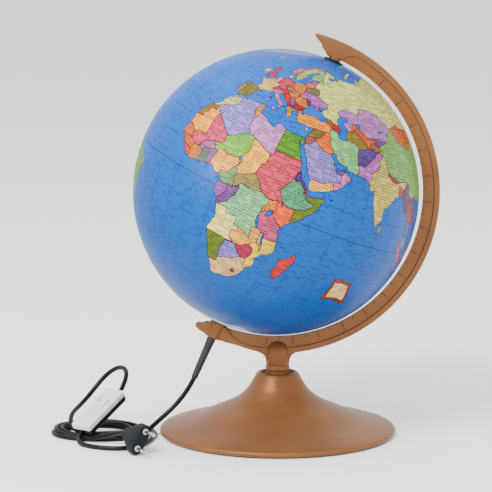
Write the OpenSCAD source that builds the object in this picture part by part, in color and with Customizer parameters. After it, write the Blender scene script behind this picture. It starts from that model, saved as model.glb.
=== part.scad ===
// Illuminated desk globe on a moulded stand, with its mains lead, inline switch and flat plug.
// Millimetres. The origin is the middle of the felt's underside, +Z is up. The arm stands in
// the XZ plane: the globe leans towards +X, and the lead leaves its lower head towards -X.

/* [Globe] */
// Diameter of the ball
globe_d = 300; // [298:0.5:300.5]
// Wall thickness of the two hemispheres
globe_wall = 2; // [1.5:0.25:2]
// Tilt of the polar axis from upright, degrees
tilt = 23.5; // [22.5:0.5:24.5]
// Height of the ball's centre above the table
globe_h = 258; // [257:0.5:260]
// Sideways place of the ball's centre
globe_x = -2; // [-3:0.5:0]

/* [Arm] */
// Inner radius of the arm about the ball's centre
arm_r_in = 154; // [153.5:0.25:154.5]
// Outer radius of the arm
arm_r_out = 171.5; // [171:0.25:172]
// Radius where the graduated band steps up to the rim
arm_r_step = 165.8; // [165:0.2:166.4]
// Thickness of the rim and heads
arm_t = 12; // [11:0.5:13]
// Thickness of the recessed, graduated band
band_t = 9.6; // [9:0.2:10]
// Radius of the post
post_r = 12.4; // [12:0.1:12.6]

/* [Base] */
// Outer radius of the base at its rim
base_r = 124.9; // [124:0.1:126]
// Wall thickness of the base shell
base_wall = 3; // [2.5:0.25:3]
// Thickness of the felt disc
felt_t = 1.5; // [1.2:0.1:1.5]

/* [Lead and switch] */
// Diameter of the mains lead
lead_d = 5; // [4.8:0.1:5]
// Length of the inline switch
switch_l = 64; // [64:0.5:66]
// Width of the inline switch
switch_w = 25; // [24.5:0.5:26]
// Tilt of the rocker at rest, degrees
rocker_tilt = 8; // [6:1:8]

/* [Hidden] */

$fn = 72;
far = 400;

bronze = "#a57f58";
iron = "#4a4a4c";
steel = "#c2c4c8";
brass = "#c9a85a";
black = "#1c1e20";
lead_black = "#15181c";
cover_grey = "#cdced2";
sea_blue = "#4f8cc4";
felt_green = "#26332c";
porcelain = "#e6e2d8";
relief_brown = "#57504a";

globe_r = globe_d / 2;
shell_r = globe_r - globe_wall;
lead_r = lead_d / 2;

// ---------- helpers ----------

// The polar frame: origin at the ball's centre, +Z to the north pole, +X towards the arm
module polar() { translate([globe_x, 0, globe_h]) rotate([0, tilt, 0]) children(); }

// A disc between two heights
module disc(r, z0, z1) { translate([0, 0, z0]) cylinder(r = r, h = z1 - z0); }

// A tube between two heights
module tube(r_out, r_in, z0, z1) {
  difference() {
    disc(r_out, z0, z1);
    disc(r_in, z0 - 1, z1 + 1);
  }
}

// A plate of thickness t standing in the XZ plane
module upright(t) { rotate([90, 0, 0]) linear_extrude(t, center = true) children(); }

// A straight round rod from p to q
module rod(p, q, r) {
  v = q - p;
  translate(p) rotate([0, acos(v.z / norm(v)), atan2(v.y, v.x)]) cylinder(r = r, h = norm(v));
}

// Arm angles run from the north pole towards the arm, in degrees
function on_arc(r, a) = r * [sin(a), cos(a)];
function arc(r, a0, a1, n) = [for (i = [0 : n]) on_arc(r, a0 + (a1 - a0) * i / n)];

// Points on a smooth curve through a list of points
function spline_at(p0, p1, p2, p3, t) =
  0.5 * (2 * p1 + (p2 - p0) * t + (2 * p0 - 5 * p1 + 4 * p2 - p3) * t * t
         + (3 * p1 - p0 - 3 * p2 + p3) * t * t * t);
function curve(p, steps) = let (n = len(p) - 1)
  concat([for (i = [0 : n - 1], k = [0 : steps - 1])
    spline_at(p[max(i - 1, 0)], p[i], p[i + 1], p[min(i + 2, n)], k / steps)], [p[n]]);

// A round tube swept through a list of points, as one closed polyhedron
lead_sides = 8;
function unit(v) = v / norm(v);
function heading(p, i) = unit(p[min(i + 1, len(p) - 1)] - p[max(i - 1, 0)]);
function across(v, h) = unit(v - (v * h) * h);
function sides(p) = [for (i = 0, s = across([0.3, 1, 0.2], heading(p, 0)); i < len(p);
  i = i + 1, s = i < len(p) ? across(s, heading(p, i)) : s) s];
module sweep(p, r) {
  n = len(p);
  starts = sides(p);
  points = [for (i = [0 : n - 1])
    let (h = heading(p, i), s = starts[i], u = cross(s, h))
    for (k = [0 : lead_sides - 1])
      let (a = 360 * k / lead_sides) p[i] + r * (cos(a) * s + sin(a) * u)];
  walls = [for (i = [0 : n - 2], k = [0 : lead_sides - 1])
    let (j = (k + 1) % lead_sides)
    [i * lead_sides + k, i * lead_sides + j, (i + 1) * lead_sides + j, (i + 1) * lead_sides + k]];
  first = [[for (k = [lead_sides - 1 : -1 : 0]) k]];
  last = [[for (k = [0 : lead_sides - 1]) (n - 1) * lead_sides + k]];
  polyhedron(points, concat(walls, first, last));
}

// ---------- base ----------

// Outline of the trumpet from the neck down to where the rim's round begins
base_line = [
  [22, 64.9], [25.5, 58.9], [28, 54.6], [32, 48.5], [40, 40.6], [52, 33.1],
  [68, 25.9], [86, 17.8], [104, 12.4], [119, 8.2], [base_r - 1.6, 6.6]
];
base_steps = 3;
rim_r = 3;
rim_z = 4;
neck_top = 66;
recess_r = 17.6;
recess_z = 62.5;
socket_r = 9.05;
socket_z = 46;
socket_wall_r = 12.6;
socket_foot_z = 42;
screw_hole_r = 3.3;
cavity_r = 119.2;
cover_top = 4;
cover_screw_ring = 88;
cover_post_r = 4;

base_curve = curve(base_line, base_steps);
base_inner = [for (i = [0 : len(base_curve) - 1])
  let (a = base_curve[max(i - 1, 0)], b = base_curve[min(i + 1, len(base_curve) - 1)], d = unit(b - a))
  base_curve[i] + base_wall * [d.y, -d.x]];

module base_outer() {
  neck = [[0, recess_z], [recess_r, recess_z], [recess_r + 0.6, neck_top - 0.6],
          [19.2, neck_top], [20.8, neck_top - 0.1]];
  rim = [for (a = [40 : -26 : -90]) [base_r - rim_r + rim_r * cos(a), rim_z + rim_r * sin(a)]];
  rotate_extrude($fn = 120)
    polygon(concat(neck, base_curve, rim, [[cavity_r, rim_z - rim_r], [cavity_r, 2], [0, 2]]));
}

module base_cavity() {
  wall = [for (p = base_inner) if (p.y < recess_z - base_wall - 0.8 && p.x < cavity_r) p];
  rotate_extrude($fn = 120)
    polygon(concat([[0, -1], [0, socket_foot_z], [socket_wall_r, socket_foot_z],
                    [socket_wall_r, recess_z - base_wall - 0.8]],
                   wall, [[cavity_r, 4.4], [cavity_r, -1]]));
}

module around_cover_screws() {
  for (a = [30, 150, 270]) rotate([0, 0, a]) translate([cover_screw_ring, 0, 0]) children();
}

module base_shell() {
  color(bronze)
  difference() {
    union() {
      difference() {
        base_outer();
        base_cavity();
      }
      intersection() {
        base_outer();
        around_cover_screws() disc(cover_post_r, cover_top, 30);
      }
    }
    disc(socket_r, socket_z, recess_z + 1);
    disc(screw_hole_r, socket_foot_z - 1, socket_z + 1);
    around_cover_screws() disc(1.5, cover_top - 1, 12.5);
  }
}

module ballast_plate() { color(iron) tube(76, 20, cover_top, cover_top + 7); }

module base_cover() {
  color(black)
  difference() {
    disc(cavity_r - 0.3, felt_t, cover_top);
    around_cover_screws() {
      disc(1.8, 0, cover_top + 1);
      disc(3.6, 0, felt_t + 1.5);
    }
  }
}

module cover_screws() {
  color(steel)
  around_cover_screws()
    difference() {
      union() {
        disc(3.3, felt_t + 0.1, felt_t + 1.5);
        disc(1.48, felt_t + 1.4, 12);
      }
      translate([0, 0, felt_t + 0.4]) cube([0.9, 4.4, 1.2], center = true);
    }
}

module felt_disc() { color(felt_green) disc(117, 0, felt_t); }

module post_screw() {
  head_z = socket_foot_z - 1.5;
  color(steel)
  difference() {
    union() {
      disc(5.6, head_z - 3.5, head_z);
      disc(3, head_z - 0.5, 62);
    }
    translate([0, 0, head_z - 4]) cylinder(r = 2.9, h = 2.4, $fn = 6);
  }
}

module post_washer() { color(steel) tube(7.5, 3.2, socket_foot_z - 1.5, socket_foot_z); }

// ---------- arm ----------

hub_r = 6.4;
hub_gap = 1.35;      // from the ball's surface to the face of each hub
boss_r = 8.5;
boss_end = 168.8;
pin_r = 2.5;
stem_r = 4;
fit = 0.02;          // radial play of a pressed or threaded fit

// The upper head: beak, hub side and the curved end of the band's step
upper_head = concat(
  arc(arm_r_out, -8.2, 14, 10),
  [[37.3, 161.5], [27.8, 164.9], [21.7, 165.9], [16.8, 165.2], [11.5, 162.4], [8.4, 159.6],
   [6.5, 156.2], [6.4, 153.6], [-6.6, 152.6], [-9, 153.4], [-12.3, 156.2], [-15.8, 159.7],
   [-19.2, 162], [-23.7, 164.2], [-28.8, 167.4], [-28.6, 168.7], [-27.2, 169.8]]);

// The lower head: rounded bill, boss side and the arm's tapering outer edge
taper_from = 160;
taper_to = 174;
taper_rate = 0.34;   // mm of radius lost per degree
lower_edge = [for (a = [taper_from : 2 : taper_to])
  on_arc(arm_r_out - (a - taper_from) * taper_rate, a)];
lower_head = concat(
  lower_edge,
  [[12, -167.6], [8.4, -boss_end + 0.2], [-1.8, -boss_end + 0.2], [-4.1, -168.2], [-10.2, -167.1],
   [-16.3, -166.2], [-20.2, -165], [-21.7, -163.5], [-21.3, -161.4], [-19.1, -159.9],
   [-15, -158.7], [-11.3, -157.4], [-8.3, -154.8], [-6, -152.6], [8.4, -152.6],
   [12.3, -153.6], [17.3, -158], [22.8, -161.4], [28, -162.7], [36, -162.6],
   on_arc(arm_r_step, 163.5), on_arc(arm_r_step, 160)]);

module sector(a0, a1) {
  polygon([[0, 0], for (i = [0 : 4]) on_arc(far, a0 + (a1 - a0) * i / 4)]);
}

module arc_ring(r_in, r_out, a0, a1) {
  intersection() {
    difference() {
      circle(r = r_out, $fn = 240);
      circle(r = r_in, $fn = 240);
    }
    sector(a0, a1);
  }
}

// The post, turned about Z, with a domed top and two rings at its foot
dome_z = 88.4;
module post() {
  dome = [for (a = [0 : 10 : 90]) [post_r * cos(a), dome_z + post_r * sin(a)]];
  rotate_extrude()
    polygon(concat([[0, socket_z + 0.2], [socket_r - 0.05, socket_z + 0.2],
                    [socket_r - 0.05, recess_z + 0.1], [post_r, recess_z + 0.1],
                    [post_r, 67.2], [post_r - 0.5, 67.8], [post_r + 0.5, 68.6],
                    [post_r + 0.5, 72.6], [post_r - 0.5, 73.7], [post_r, 74.6]], dome));
}

// The web that blends the arm into the post, its sides hollowed by one round each
web_left_r = 9;
web_right_r = 11;
function web_x(side, r) = side * (post_r + r);
function web_z(side, r) =
  globe_h - sqrt(pow(arm_r_out + r, 2) - pow(web_x(side, r) - globe_x, 2));
module web() {
  upright(arm_t - 2)
    difference() {
      polygon([[web_x(-1, web_left_r), web_z(-1, web_left_r)],
               [web_x(1, web_right_r), web_z(1, web_right_r)],
               [web_x(1, web_right_r), 91.4], [web_x(-1, web_left_r), 91.4]]);
      translate([web_x(-1, web_left_r), web_z(-1, web_left_r)]) circle(r = web_left_r);
      translate([web_x(1, web_right_r), web_z(1, web_right_r)]) circle(r = web_right_r);
    }
}

module meridian_arm() {
  color(bronze)
  difference() {
    union() {
      polar() {
        upright(band_t) arc_ring(arm_r_in, arm_r_step + 0.4, 2.4, 175.4);
        upright(arm_t) {
          arc_ring(arm_r_step, arm_r_out, 10, taper_from + 1);
          polygon(upper_head);
          polygon(lower_head);
        }
        disc(hub_r, globe_r + hub_gap, 159);
        disc(boss_r, -boss_end, -globe_r - hub_gap);
      }
      post();
      web();
    }
    polar() {
      disc(pin_r + fit, globe_r, 162);
      disc(stem_r + fit, -boss_end - 1, -globe_r);
    }
    disc(3.02, socket_z - 1, 64);
  }
}

// ---------- globe ----------

flat_u = 149.6;      // height of the flat that each pole bush sits on
bush_r = 10.25;
bush_top = 150.95;
north_neck_r = 6;
south_neck_r = 7.5;
running = 0.06;      // radial play of a running fit

module hemisphere(side, neck_r) {
  difference() {
    sphere(r = globe_r, $fn = 180);
    sphere(r = shell_r, $fn = 180);
    translate([-far / 2, -far / 2, side > 0 ? -far : 0]) cube(far);
    disc(neck_r + 0.05, side > 0 ? 0 : -far / 2, side > 0 ? far / 2 : 0);
    disc(bush_r + 0.15, side > 0 ? flat_u : -far / 2, side > 0 ? far / 2 : -flat_u);
  }
}

module north_hemisphere() { color(sea_blue) polar() hemisphere(1, north_neck_r); }

module south_hemisphere() { color(sea_blue) polar() hemisphere(-1, south_neck_r); }

module joint_ring() { color(porcelain) polar() tube(shell_r - 0.2, shell_r - 2.4, -6, 6); }

// A flanged bush, drawn for the north pole: flange outside, neck, snap collar inside
module bush(neck_r, collar_r, bore_r) {
  inner_top = sqrt(pow(shell_r, 2) - pow(collar_r, 2)) - 0.05;
  rotate_extrude()
    polygon([[bore_r, inner_top - 2.8], [collar_r - 0.8, inner_top - 2.8], [collar_r, inner_top - 2],
             [collar_r, inner_top], [neck_r, inner_top], [neck_r, flat_u], [bush_r, flat_u],
             [bush_r, bush_top - 0.4], [bush_r - 0.4, bush_top], [bore_r, bush_top]]);
}

module north_pole_bush() { color(black) polar() bush(north_neck_r, 8.5, pin_r + running); }

module south_pole_bush() {
  color(black) polar() mirror([0, 0, 1]) bush(south_neck_r, 10.5, stem_r + running);
}

module north_pivot_pin() { color(steel) polar() disc(pin_r, 141, 161.5); }

// ---------- lamp, all in the polar frame ----------

stem_bore_r = 2.7;
holder_r = 12.5;

module lamp_stem() { color(steel) polar() tube(stem_r, stem_bore_r, -160.5, -109); }

module stem_nut() {
  color(steel) polar()
  difference() {
    translate([0, 0, -116]) cylinder(r = 7.5, h = 4, $fn = 6);
    disc(stem_r + fit, -117, -111);
  }
}

module lamp_holder() {
  color(porcelain) polar()
  difference() {
    disc(holder_r, -120, -74);
    disc(stem_r + fit, -121, -115);
    disc(10.5, -116, -98);
    disc(7.62, -95, -73);
    for (x = [-5.5, 5.5]) translate([x, 0, 0]) disc(1.2, -99, -94);
  }
}

module holder_shell() { color(brass) polar() tube(7.58, 7.1, -93, -75); }

module holder_contact() { color(brass) polar() disc(3.5, -95, -94.2); }

module holder_terminals() {
  color(brass) polar()
  for (x = [-6.2, 6.2])
    difference() {
      translate([x - 2.2, -2.5, -103.4]) cube([4.4, 5, 5.4]);
      translate([x, 4, -100.6]) rotate([90, 0, 0]) cylinder(r = 0.8, h = 3);
    }
}

module lead_cores() {
  color(porcelain) polar()
  for (s = [-1, 1]) rod([s * 1.6, 0, -106.2], [s * 5.6, 0, -103.9], 0.6);
}

glass_r = 22.5;
glass_u = -39;
function glass_line(inset) = concat(
  [[6.4 - inset, -67], [8.4 - inset, -61.6]],
  [for (a = [-60 : 12 : 84]) [(glass_r - inset) * cos(a), glass_u + (glass_r - inset) * sin(a)]],
  [[0, glass_u + glass_r - inset]]);

module bulb_glass() {
  color([0.95, 0.95, 0.92, 0.5]) polar()
  rotate_extrude()
    difference() {
      polygon(concat([[0, -84], [6.4, -84]], glass_line(0)));
      polygon(concat([[0, -85], [5.6, -85]], glass_line(0.8)));
    }
}

module bulb_cap() {
  color(brass) polar()
  difference() {
    disc(6.95, -92.6, -68);
    disc(6.5, -91.4, -67);
  }
}

module bulb_contact() { color(steel) polar() disc(2.2, -94.2, -92.6); }

module bulb_stem() {
  color([0.9, 0.9, 0.9, 0.6]) polar() {
    disc(5.5, -84, -82.4);
    disc(2, -83, -52);
  }
}

filament_r = 9;
module bulb_filament() {
  color(steel) polar() {
    translate([0, 0, -44]) rotate([0, 0, 60])
      rotate_extrude(angle = 240) translate([filament_r, 0]) circle(r = 0.35, $fn = 16);
    for (a = [60, 180, 300])
      rod([1.8 * cos(a), 1.8 * sin(a), -51.8], [filament_r * cos(a), filament_r * sin(a), -44], 0.3);
    disc(2, -52, -51);
  }
}

relief_from = -168.8;
relief_to = -216.8;
relief_ribs = 12;
rib_pitch = 3.1;
module strain_relief() {
  line = [for (i = [0 : relief_ribs - 1])
    let (u = relief_from - 6 - i * rib_pitch, r = 4.55 - i * 0.085)
    each [[r, u], [r, u - 2], [r - 0.45, u - 2.3], [r - 0.45, u - rib_pitch + 0.3]]];
  color(relief_brown) polar()
  rotate_extrude($fn = 48)
    polygon(concat(
      [[lead_r + 0.05, relief_from + 7.6], [stem_r, relief_from + 7.6], [stem_r, relief_from],
       [4.75, relief_from]],
      line,
      [[3.55, relief_to + 4.4], [3.45, relief_to + 0.4], [3.1, relief_to],
       [lead_r + 0.05, relief_to]]));
}

module lamp_lead() { color(lead_black) polar() disc(lead_r, relief_to, -107.2); }

// ---------- inline switch, drawn with its long axis along X and its cover up ----------

switch_h = 13;
switch_at = [-187.5, -25, 27.5];
switch_heading = 51;
switch_pitch = 28;
switch_corner = 3.5;
split_z = 0.5;
wall_t = 1.5;
lead_z = -3;
rocker_x = 2.3;
rocker_z = 2.6;
rocker_l = 22;
rocker_w = 12;
rocker_gap = 0.35;
trunnion_r = 1.5;
trunnion_reach = 8.2;
switch_screw_x = 22.5;

// The middle of the lead where it leaves one end of the switch
function switch_end(side) = switch_at
  + side * switch_l / 2 * [cos(switch_heading) * cos(switch_pitch),
                           sin(switch_heading) * cos(switch_pitch), sin(switch_pitch)]
  + lead_z * [-cos(switch_heading) * sin(switch_pitch), -sin(switch_heading) * sin(switch_pitch),
              cos(switch_pitch)];

module in_switch() {
  translate(switch_at) rotate([0, 0, switch_heading]) rotate([0, -switch_pitch, 0]) children();
}

// Outline with cut corners, shrunk by an inset
module switch_outline(inset) {
  l = switch_l / 2 - inset;
  w = switch_w / 2 - inset;
  c = switch_corner - inset / 2;
  polygon([[-l, -w + c], [-l + c, -w], [l - c, -w], [l, -w + c],
           [l, w - c], [l - c, w], [-l + c, w], [-l, w - c]]);
}

module switch_layer(inset, z0, z1) {
  translate([0, 0, z0]) linear_extrude(z1 - z0) switch_outline(inset);
}

module switch_base() {
  bottom = -switch_h / 2;
  color(black) in_switch()
  difference() {
    union() {
      difference() {
        union() {
          switch_layer(1.5, bottom, bottom + 2);
          switch_layer(0, bottom + 2, split_z);
        }
        switch_layer(wall_t + 1, bottom + wall_t, split_z + 1);
      }
      for (s = [-1, 1]) translate([s * switch_screw_x, 0, 0]) disc(3, bottom, split_z);
    }
    for (s = [-1, 1]) translate([s * switch_screw_x, 0, 0]) {
      disc(1.3, bottom - 1, split_z + 1);
      disc(2.5, bottom - 1, bottom + 2);
    }
    for (s = [-1, 1])
      rod([s * (switch_l / 2 - 6), 0, lead_z], [s * (switch_l / 2 + 3), 0, lead_z], lead_r + 0.1);
  }
}

module switch_cover() {
  top = switch_h / 2;
  color(cover_grey) in_switch()
  difference() {
    union() {
      difference() {
        union() {
          switch_layer(0, split_z, top - 1.2);
          switch_layer(1.2, top - 1.2, top);
        }
        switch_layer(wall_t, split_z - 1, top - wall_t);
      }
      for (s = [-1, 1]) {
        translate([s * switch_screw_x, 0, 0]) disc(3, split_z, top - 1);
        translate([rocker_x - 3, s * (trunnion_reach - 0.5) - 1.2, 0]) cube([6, 2.4, top - 1]);
      }
    }
    translate([rocker_x - rocker_l / 2 - rocker_gap, -rocker_w / 2 - rocker_gap, -5])
      cube([rocker_l + 2 * rocker_gap, rocker_w + 2 * rocker_gap, 20]);
    translate([rocker_x, trunnion_reach + 1, rocker_z]) rotate([90, 0, 0])
      cylinder(r = trunnion_r + running, h = 2 * trunnion_reach + 2);
    for (s = [-1, 1]) translate([s * switch_screw_x, 0, 0]) disc(1.18, 0, top - 2);
  }
}

// The rocker's side view about its own pivot: round ends, a shallow V on top
module rocker_side() {
  intersection() {
    circle(r = rocker_l / 2);
    polygon([[-14, -0.6], [-3, -2.4], [3, -2.4], [14, -0.6], [14, 5.5], [1, 4.4], [-1, 4.4],
             [-14, 5.5]]);
  }
}

module at_rocker() {
  in_switch() translate([rocker_x, 0, rocker_z]) rotate([0, -rocker_tilt, 0]) children();
}

dot_at = [7, 4.1, 0];
module switch_rocker() {
  color(cover_grey) at_rocker()
  difference() {
    union() {
      upright(rocker_w) rocker_side();
      translate([0, trunnion_reach, 0]) rotate([90, 0, 0])
        cylinder(r = trunnion_r, h = 2 * trunnion_reach);
    }
    translate(dot_at) disc(1.32, 3.4, 9);
  }
}

module rocker_dot() { color("#b03024") at_rocker() translate(dot_at) disc(1.3, 3.42, 5.05); }

module switch_screws() {
  bottom = -switch_h / 2;
  color(steel) in_switch()
  for (s = [-1, 1]) translate([s * switch_screw_x, 0, 0])
    difference() {
      union() {
        disc(2.3, bottom + 0.4, bottom + 2);
        disc(1.16, bottom + 1.9, switch_h / 2 - 2.4);
      }
      translate([0, 0, bottom + 0.6]) cube([3, 0.6, 1], center = true);
    }
}

module switch_contacts() {
  color(brass) in_switch()
  for (s = [-1, 1]) translate([rocker_x - 9, s * 4 - 1.2, -3.2]) cube([18, 2.4, 0.5]);
}

module switch_terminals() {
  color(brass) in_switch()
  for (sx = [-1, 1], sy = [-1, 1])
    translate([sx * 15.5 - 2.5, sy * 4.4 - 1.8, -switch_h / 2 + wall_t]) cube([5, 3.6, 3]);
}

// ---------- plug, drawn with its pins along +X and its broad side in XZ ----------

plug_at = [-139.5, -108, 16];
plug_heading = -60;
plug_lean = 30;
plug_l = 34;
plug_w = 33;
plug_t = 13.6;
pin_pitch = 19;
plug_rear = plug_at - plug_l * [cos(plug_heading), sin(plug_heading), 0];

module in_plug() {
  translate(plug_at) rotate([0, 0, plug_heading]) rotate([-plug_lean, 0, 0]) children();
}

module along_x(x0, x1, r) { translate([x0, 0, 0]) rotate([0, 90, 0]) cylinder(r = r, h = x1 - x0); }

module each_pin() { for (s = [-1, 1]) translate([0, 0, s * pin_pitch / 2]) children(); }

module plug_body() {
  w = plug_w / 2;
  t = plug_t / 2;
  color(black) in_plug()
  difference() {
    intersection() {
      upright(plug_t + 2)
        polygon([[0, -w - 1], [-11, -w - 1], [-27, -8], [-plug_l, -5.8],
                 [-plug_l, 5.8], [-27, 8], [-11, w + 1], [0, w + 1]]);
      translate([-plug_l - 1, 0, 0]) rotate([90, 0, 90]) linear_extrude(plug_l + 2)
        polygon([[-t, -w + 6], [-3, -w], [3, -w], [t, -w + 6],
                 [t, w - 6], [3, w], [-3, w], [-t, w - 6]]);
    }
    each_pin() {
      along_x(-8, 1, 1.27);
      along_x(-6, 1, 3.02);
    }
    translate([-6.02, -2.02, -pin_pitch / 2]) cube([2.04, 4.04, pin_pitch]);
  }
}

// The light insert that holds the pins: a bar inside the body and a collar round each pin
module pin_bridge() {
  color(porcelain) in_plug()
  difference() {
    union() {
      translate([-6, -2, -pin_pitch / 2]) cube([2, 4, pin_pitch]);
      each_pin() along_x(-6, 0.8, 3);
    }
    each_pin() {
      along_x(-7, 1, 1.27);
      along_x(-3, 1, 1.78);
    }
  }
}

module plug_pins() {
  color(steel) in_plug()
  each_pin() {
    along_x(-7.9, 10.3, 1.25);
    along_x(10.2, 18.2, 2);
    along_x(18.1, 19, 1.5);
  }
}

module plug_sleeves() {
  color(black) in_plug()
  each_pin()
    difference() {
      along_x(-2.9, 10.1, 1.75);
      along_x(-4, 11, 1.28);
    }
}

// ---------- mains lead ----------

lead_exit = [globe_x + relief_to * sin(tilt), 0, globe_h + relief_to * cos(tilt)];
lead_route = [
  lead_exit, [-93.5, 0, 49], [-100.5, -0.5, 39], [-108, -1.5, 30], [-116.5, -4, 22],
  [-124.5, -8, 16], [-131, -14.5, 10.5], [-136.5, -24, 8]
];
loop_route = [
  switch_end(1), [-166, 3.3, 44.8], [-163.3, 10, 50.5], [-161, 18, 56.5], [-161, 26.5, 61],
  [-164.5, 35, 63.5], [-170.5, 42, 62.5], [-178, 46.5, 58], [-186, 48, 51], [-193, 46, 43],
  [-200, 40.5, 34.5], [-206.5, 32, 28], [-211.5, 22, 24], [-216, 11, 21], [-219, -1, 19.5]
];
tail_route = [
  switch_end(-1), [-208.3, -51.3, 6.9], [-209.3, -58, 4.7], [-206.8, -65.3, 3.2],
  [-201, -72.3, 2.6], [-192.5, -79, 2.5], [-182.5, -84.5, 2.5], [-172, -87.5, 2.5],
  [-161, -87.5, 2.5], [-151, -83.5, 2.5], [-143.5, -75.5, 2.5], [-138, -65, 2.5],
  [-134.5, -53.5, 2.5], [-131.8, -42, 2.5], [-130.3, -31, 2.5], [-129.8, -20, 2.5]
];
plug_route = [
  plug_rear, [-161, -70.8, 15.5], [-166.5, -63.8, 13.5], [-173, -57.8, 10.5], [-180.5, -53, 7.5]
];

// The hank's outer shape: low where the turns fan out in front, high where they are stacked
hank_x = [-241, -128];
hank_low = [-52, 28];
hank_high = [-22, 28];
hank_low_z = 5.5;
hank_high_z = 21;
module hank_outline(y) {
  r = (y[1] - y[0]) / 2;
  translate([hank_x[0] + r, y[0] + r]) circle(r = r);
  translate([hank_x[1] - r, y[0] + r]) circle(r = r);
  translate([hank_x[0] + r, y[0]]) square([hank_x[1] - hank_x[0] - 2 * r, 2 * r]);
}

module cord_lead() { color(lead_black) sweep(lead_route, lead_r); }

module cord_hank() {
  color(lead_black)
  difference() {
    union() {
      linear_extrude(hank_low_z) hank_outline(hank_low);
      linear_extrude(hank_high_z) hank_outline(hank_high);
    }
    in_switch() translate([-switch_l / 2 - 2, -switch_w / 2 - 1, -switch_h / 2 - 0.8])
      cube([switch_l + 4, switch_w + 2, 60]);
  }
}

module cord_loop() { color(lead_black) sweep(loop_route, lead_r); }

module cord_tail() { color(lead_black) sweep(tail_route, lead_r); }

module cord_plug() { color(lead_black) sweep(plug_route, lead_r); }

// ---------- what is drawn ----------

base_shell();
ballast_plate();
base_cover();
cover_screws();
felt_disc();
post_screw();
post_washer();
meridian_arm();
north_hemisphere();
south_hemisphere();
joint_ring();
north_pole_bush();
south_pole_bush();
north_pivot_pin();
lamp_stem();
stem_nut();
lamp_holder();
holder_shell();
holder_contact();
holder_terminals();
lead_cores();
bulb_glass();
bulb_cap();
bulb_contact();
bulb_stem();
bulb_filament();
lamp_lead();
strain_relief();
cord_lead();
cord_hank();
cord_loop();
cord_tail();
cord_plug();
switch_base();
switch_cover();
switch_rocker();
rocker_dot();
switch_screws();
switch_contacts();
switch_terminals();
plug_body();
pin_bridge();
plug_pins();
plug_sleeves();
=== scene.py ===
"""Illuminated desk globe: printed ball, moulded arm and base, mains lead, inline switch and plug."""
import math

import bmesh
import bpy
from mathutils import Matrix, Vector, noise
from mathutils.bvhtree import BVHTree
from mathutils.geometry import delaunay_2d_cdt


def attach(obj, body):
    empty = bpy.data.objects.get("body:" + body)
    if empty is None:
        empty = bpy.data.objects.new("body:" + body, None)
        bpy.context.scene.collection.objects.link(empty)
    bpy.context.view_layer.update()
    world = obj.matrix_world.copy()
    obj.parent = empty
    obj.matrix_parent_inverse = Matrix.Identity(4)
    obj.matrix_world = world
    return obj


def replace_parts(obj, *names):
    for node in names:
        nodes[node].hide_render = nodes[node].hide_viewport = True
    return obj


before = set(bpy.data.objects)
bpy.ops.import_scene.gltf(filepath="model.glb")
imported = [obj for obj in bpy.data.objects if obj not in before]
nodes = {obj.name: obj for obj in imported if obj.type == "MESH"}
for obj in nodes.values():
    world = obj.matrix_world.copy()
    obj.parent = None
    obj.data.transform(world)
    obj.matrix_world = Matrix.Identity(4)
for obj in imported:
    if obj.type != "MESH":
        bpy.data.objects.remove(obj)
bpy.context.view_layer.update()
MM = 0.001

# ---------------------------------------------------------------- camera

camera = bpy.data.objects.new("camera", bpy.data.cameras.new("camera"))
bpy.context.scene.collection.objects.link(camera)
camera.location = (-0.002, -2.9708, 0.6755)
camera.rotation_euler = (math.radians(90 - 9.082), 0, math.radians(0.607))
camera.data.sensor_width = 36
camera.data.lens = 209.3
bpy.context.scene.camera = camera

# ---------------------------------------------------------------- mains lead

LEAD_D = 5.0

# From the strain relief down to the hank
lead_route = [(-88.45, 0, 59.2), (-93.5, 0, 49), (-100.5, -0.5, 39), (-108, -1.5, 30), (-116.5, -4, 22),
              (-124.5, -8, 16), (-131, -14.5, 10.5), (-136.5, -24, 8)]
# From the switch's high end, up and over, down to the hank
loop_route = [(-168.83, -1.95, 39.87), (-166, 3.3, 44.8), (-163.3, 10, 50.5), (-161, 18, 56.5), (-161, 26.5, 61),
              (-164.5, 35, 63.5), (-170.5, 42, 62.5), (-178, 46.5, 58), (-186, 48, 51), (-193, 46, 43),
              (-200, 40.5, 34.5), (-206.5, 32, 28), (-211.5, 22, 24), (-216, 11, 21), (-219, -1, 19.5)]
# From the switch's low end, round the front, to the hank's right side
tail_route = [(-204.39, -45.86, 9.83), (-208.3, -51.3, 6.9), (-209.3, -58, 4.7), (-206.8, -65.3, 3.2),
              (-201, -72.3, 2.6), (-192.5, -79, 2.5), (-182.5, -84.5, 2.5), (-172, -87.5, 2.5),
              (-161, -87.5, 2.5), (-151, -83.5, 2.5), (-143.5, -75.5, 2.5), (-138, -65, 2.5),
              (-134.5, -53.5, 2.5), (-131.8, -42, 2.5), (-130.3, -31, 2.5), (-129.8, -20, 2.5)]
# From the plug's rear back to the hank
plug_route = [(-156.5, -78.56, 16), (-161, -70.8, 15.5), (-166.5, -63.8, 13.5), (-173, -57.8, 10.5),
              (-180.5, -53, 7.5)]

HANK_AT = (-184.5, -11)
HANK_HALF = (54, 36)


def round_the_hank(stations, step=18):
    """Points round the hank through (angle, inset, height) stations, angles from its right end."""
    points = []
    for (a0, s0, z0), (a1, s1, z1) in zip(stations, stations[1:]):
        count = max(1, round(abs(a1 - a0) / step))
        for i in range(count):
            t = i / count
            ease = t * t * (3 - 2 * t)
            angle = math.radians(a0 + (a1 - a0) * t)
            inset, z = s0 + (s1 - s0) * ease, z0 + (z1 - z0) * ease
            points.append((HANK_AT[0] + (HANK_HALF[0] - inset) * math.cos(angle),
                           HANK_AT[1] + (HANK_HALF[1] - inset) * math.sin(angle), z))
    return points


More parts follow.
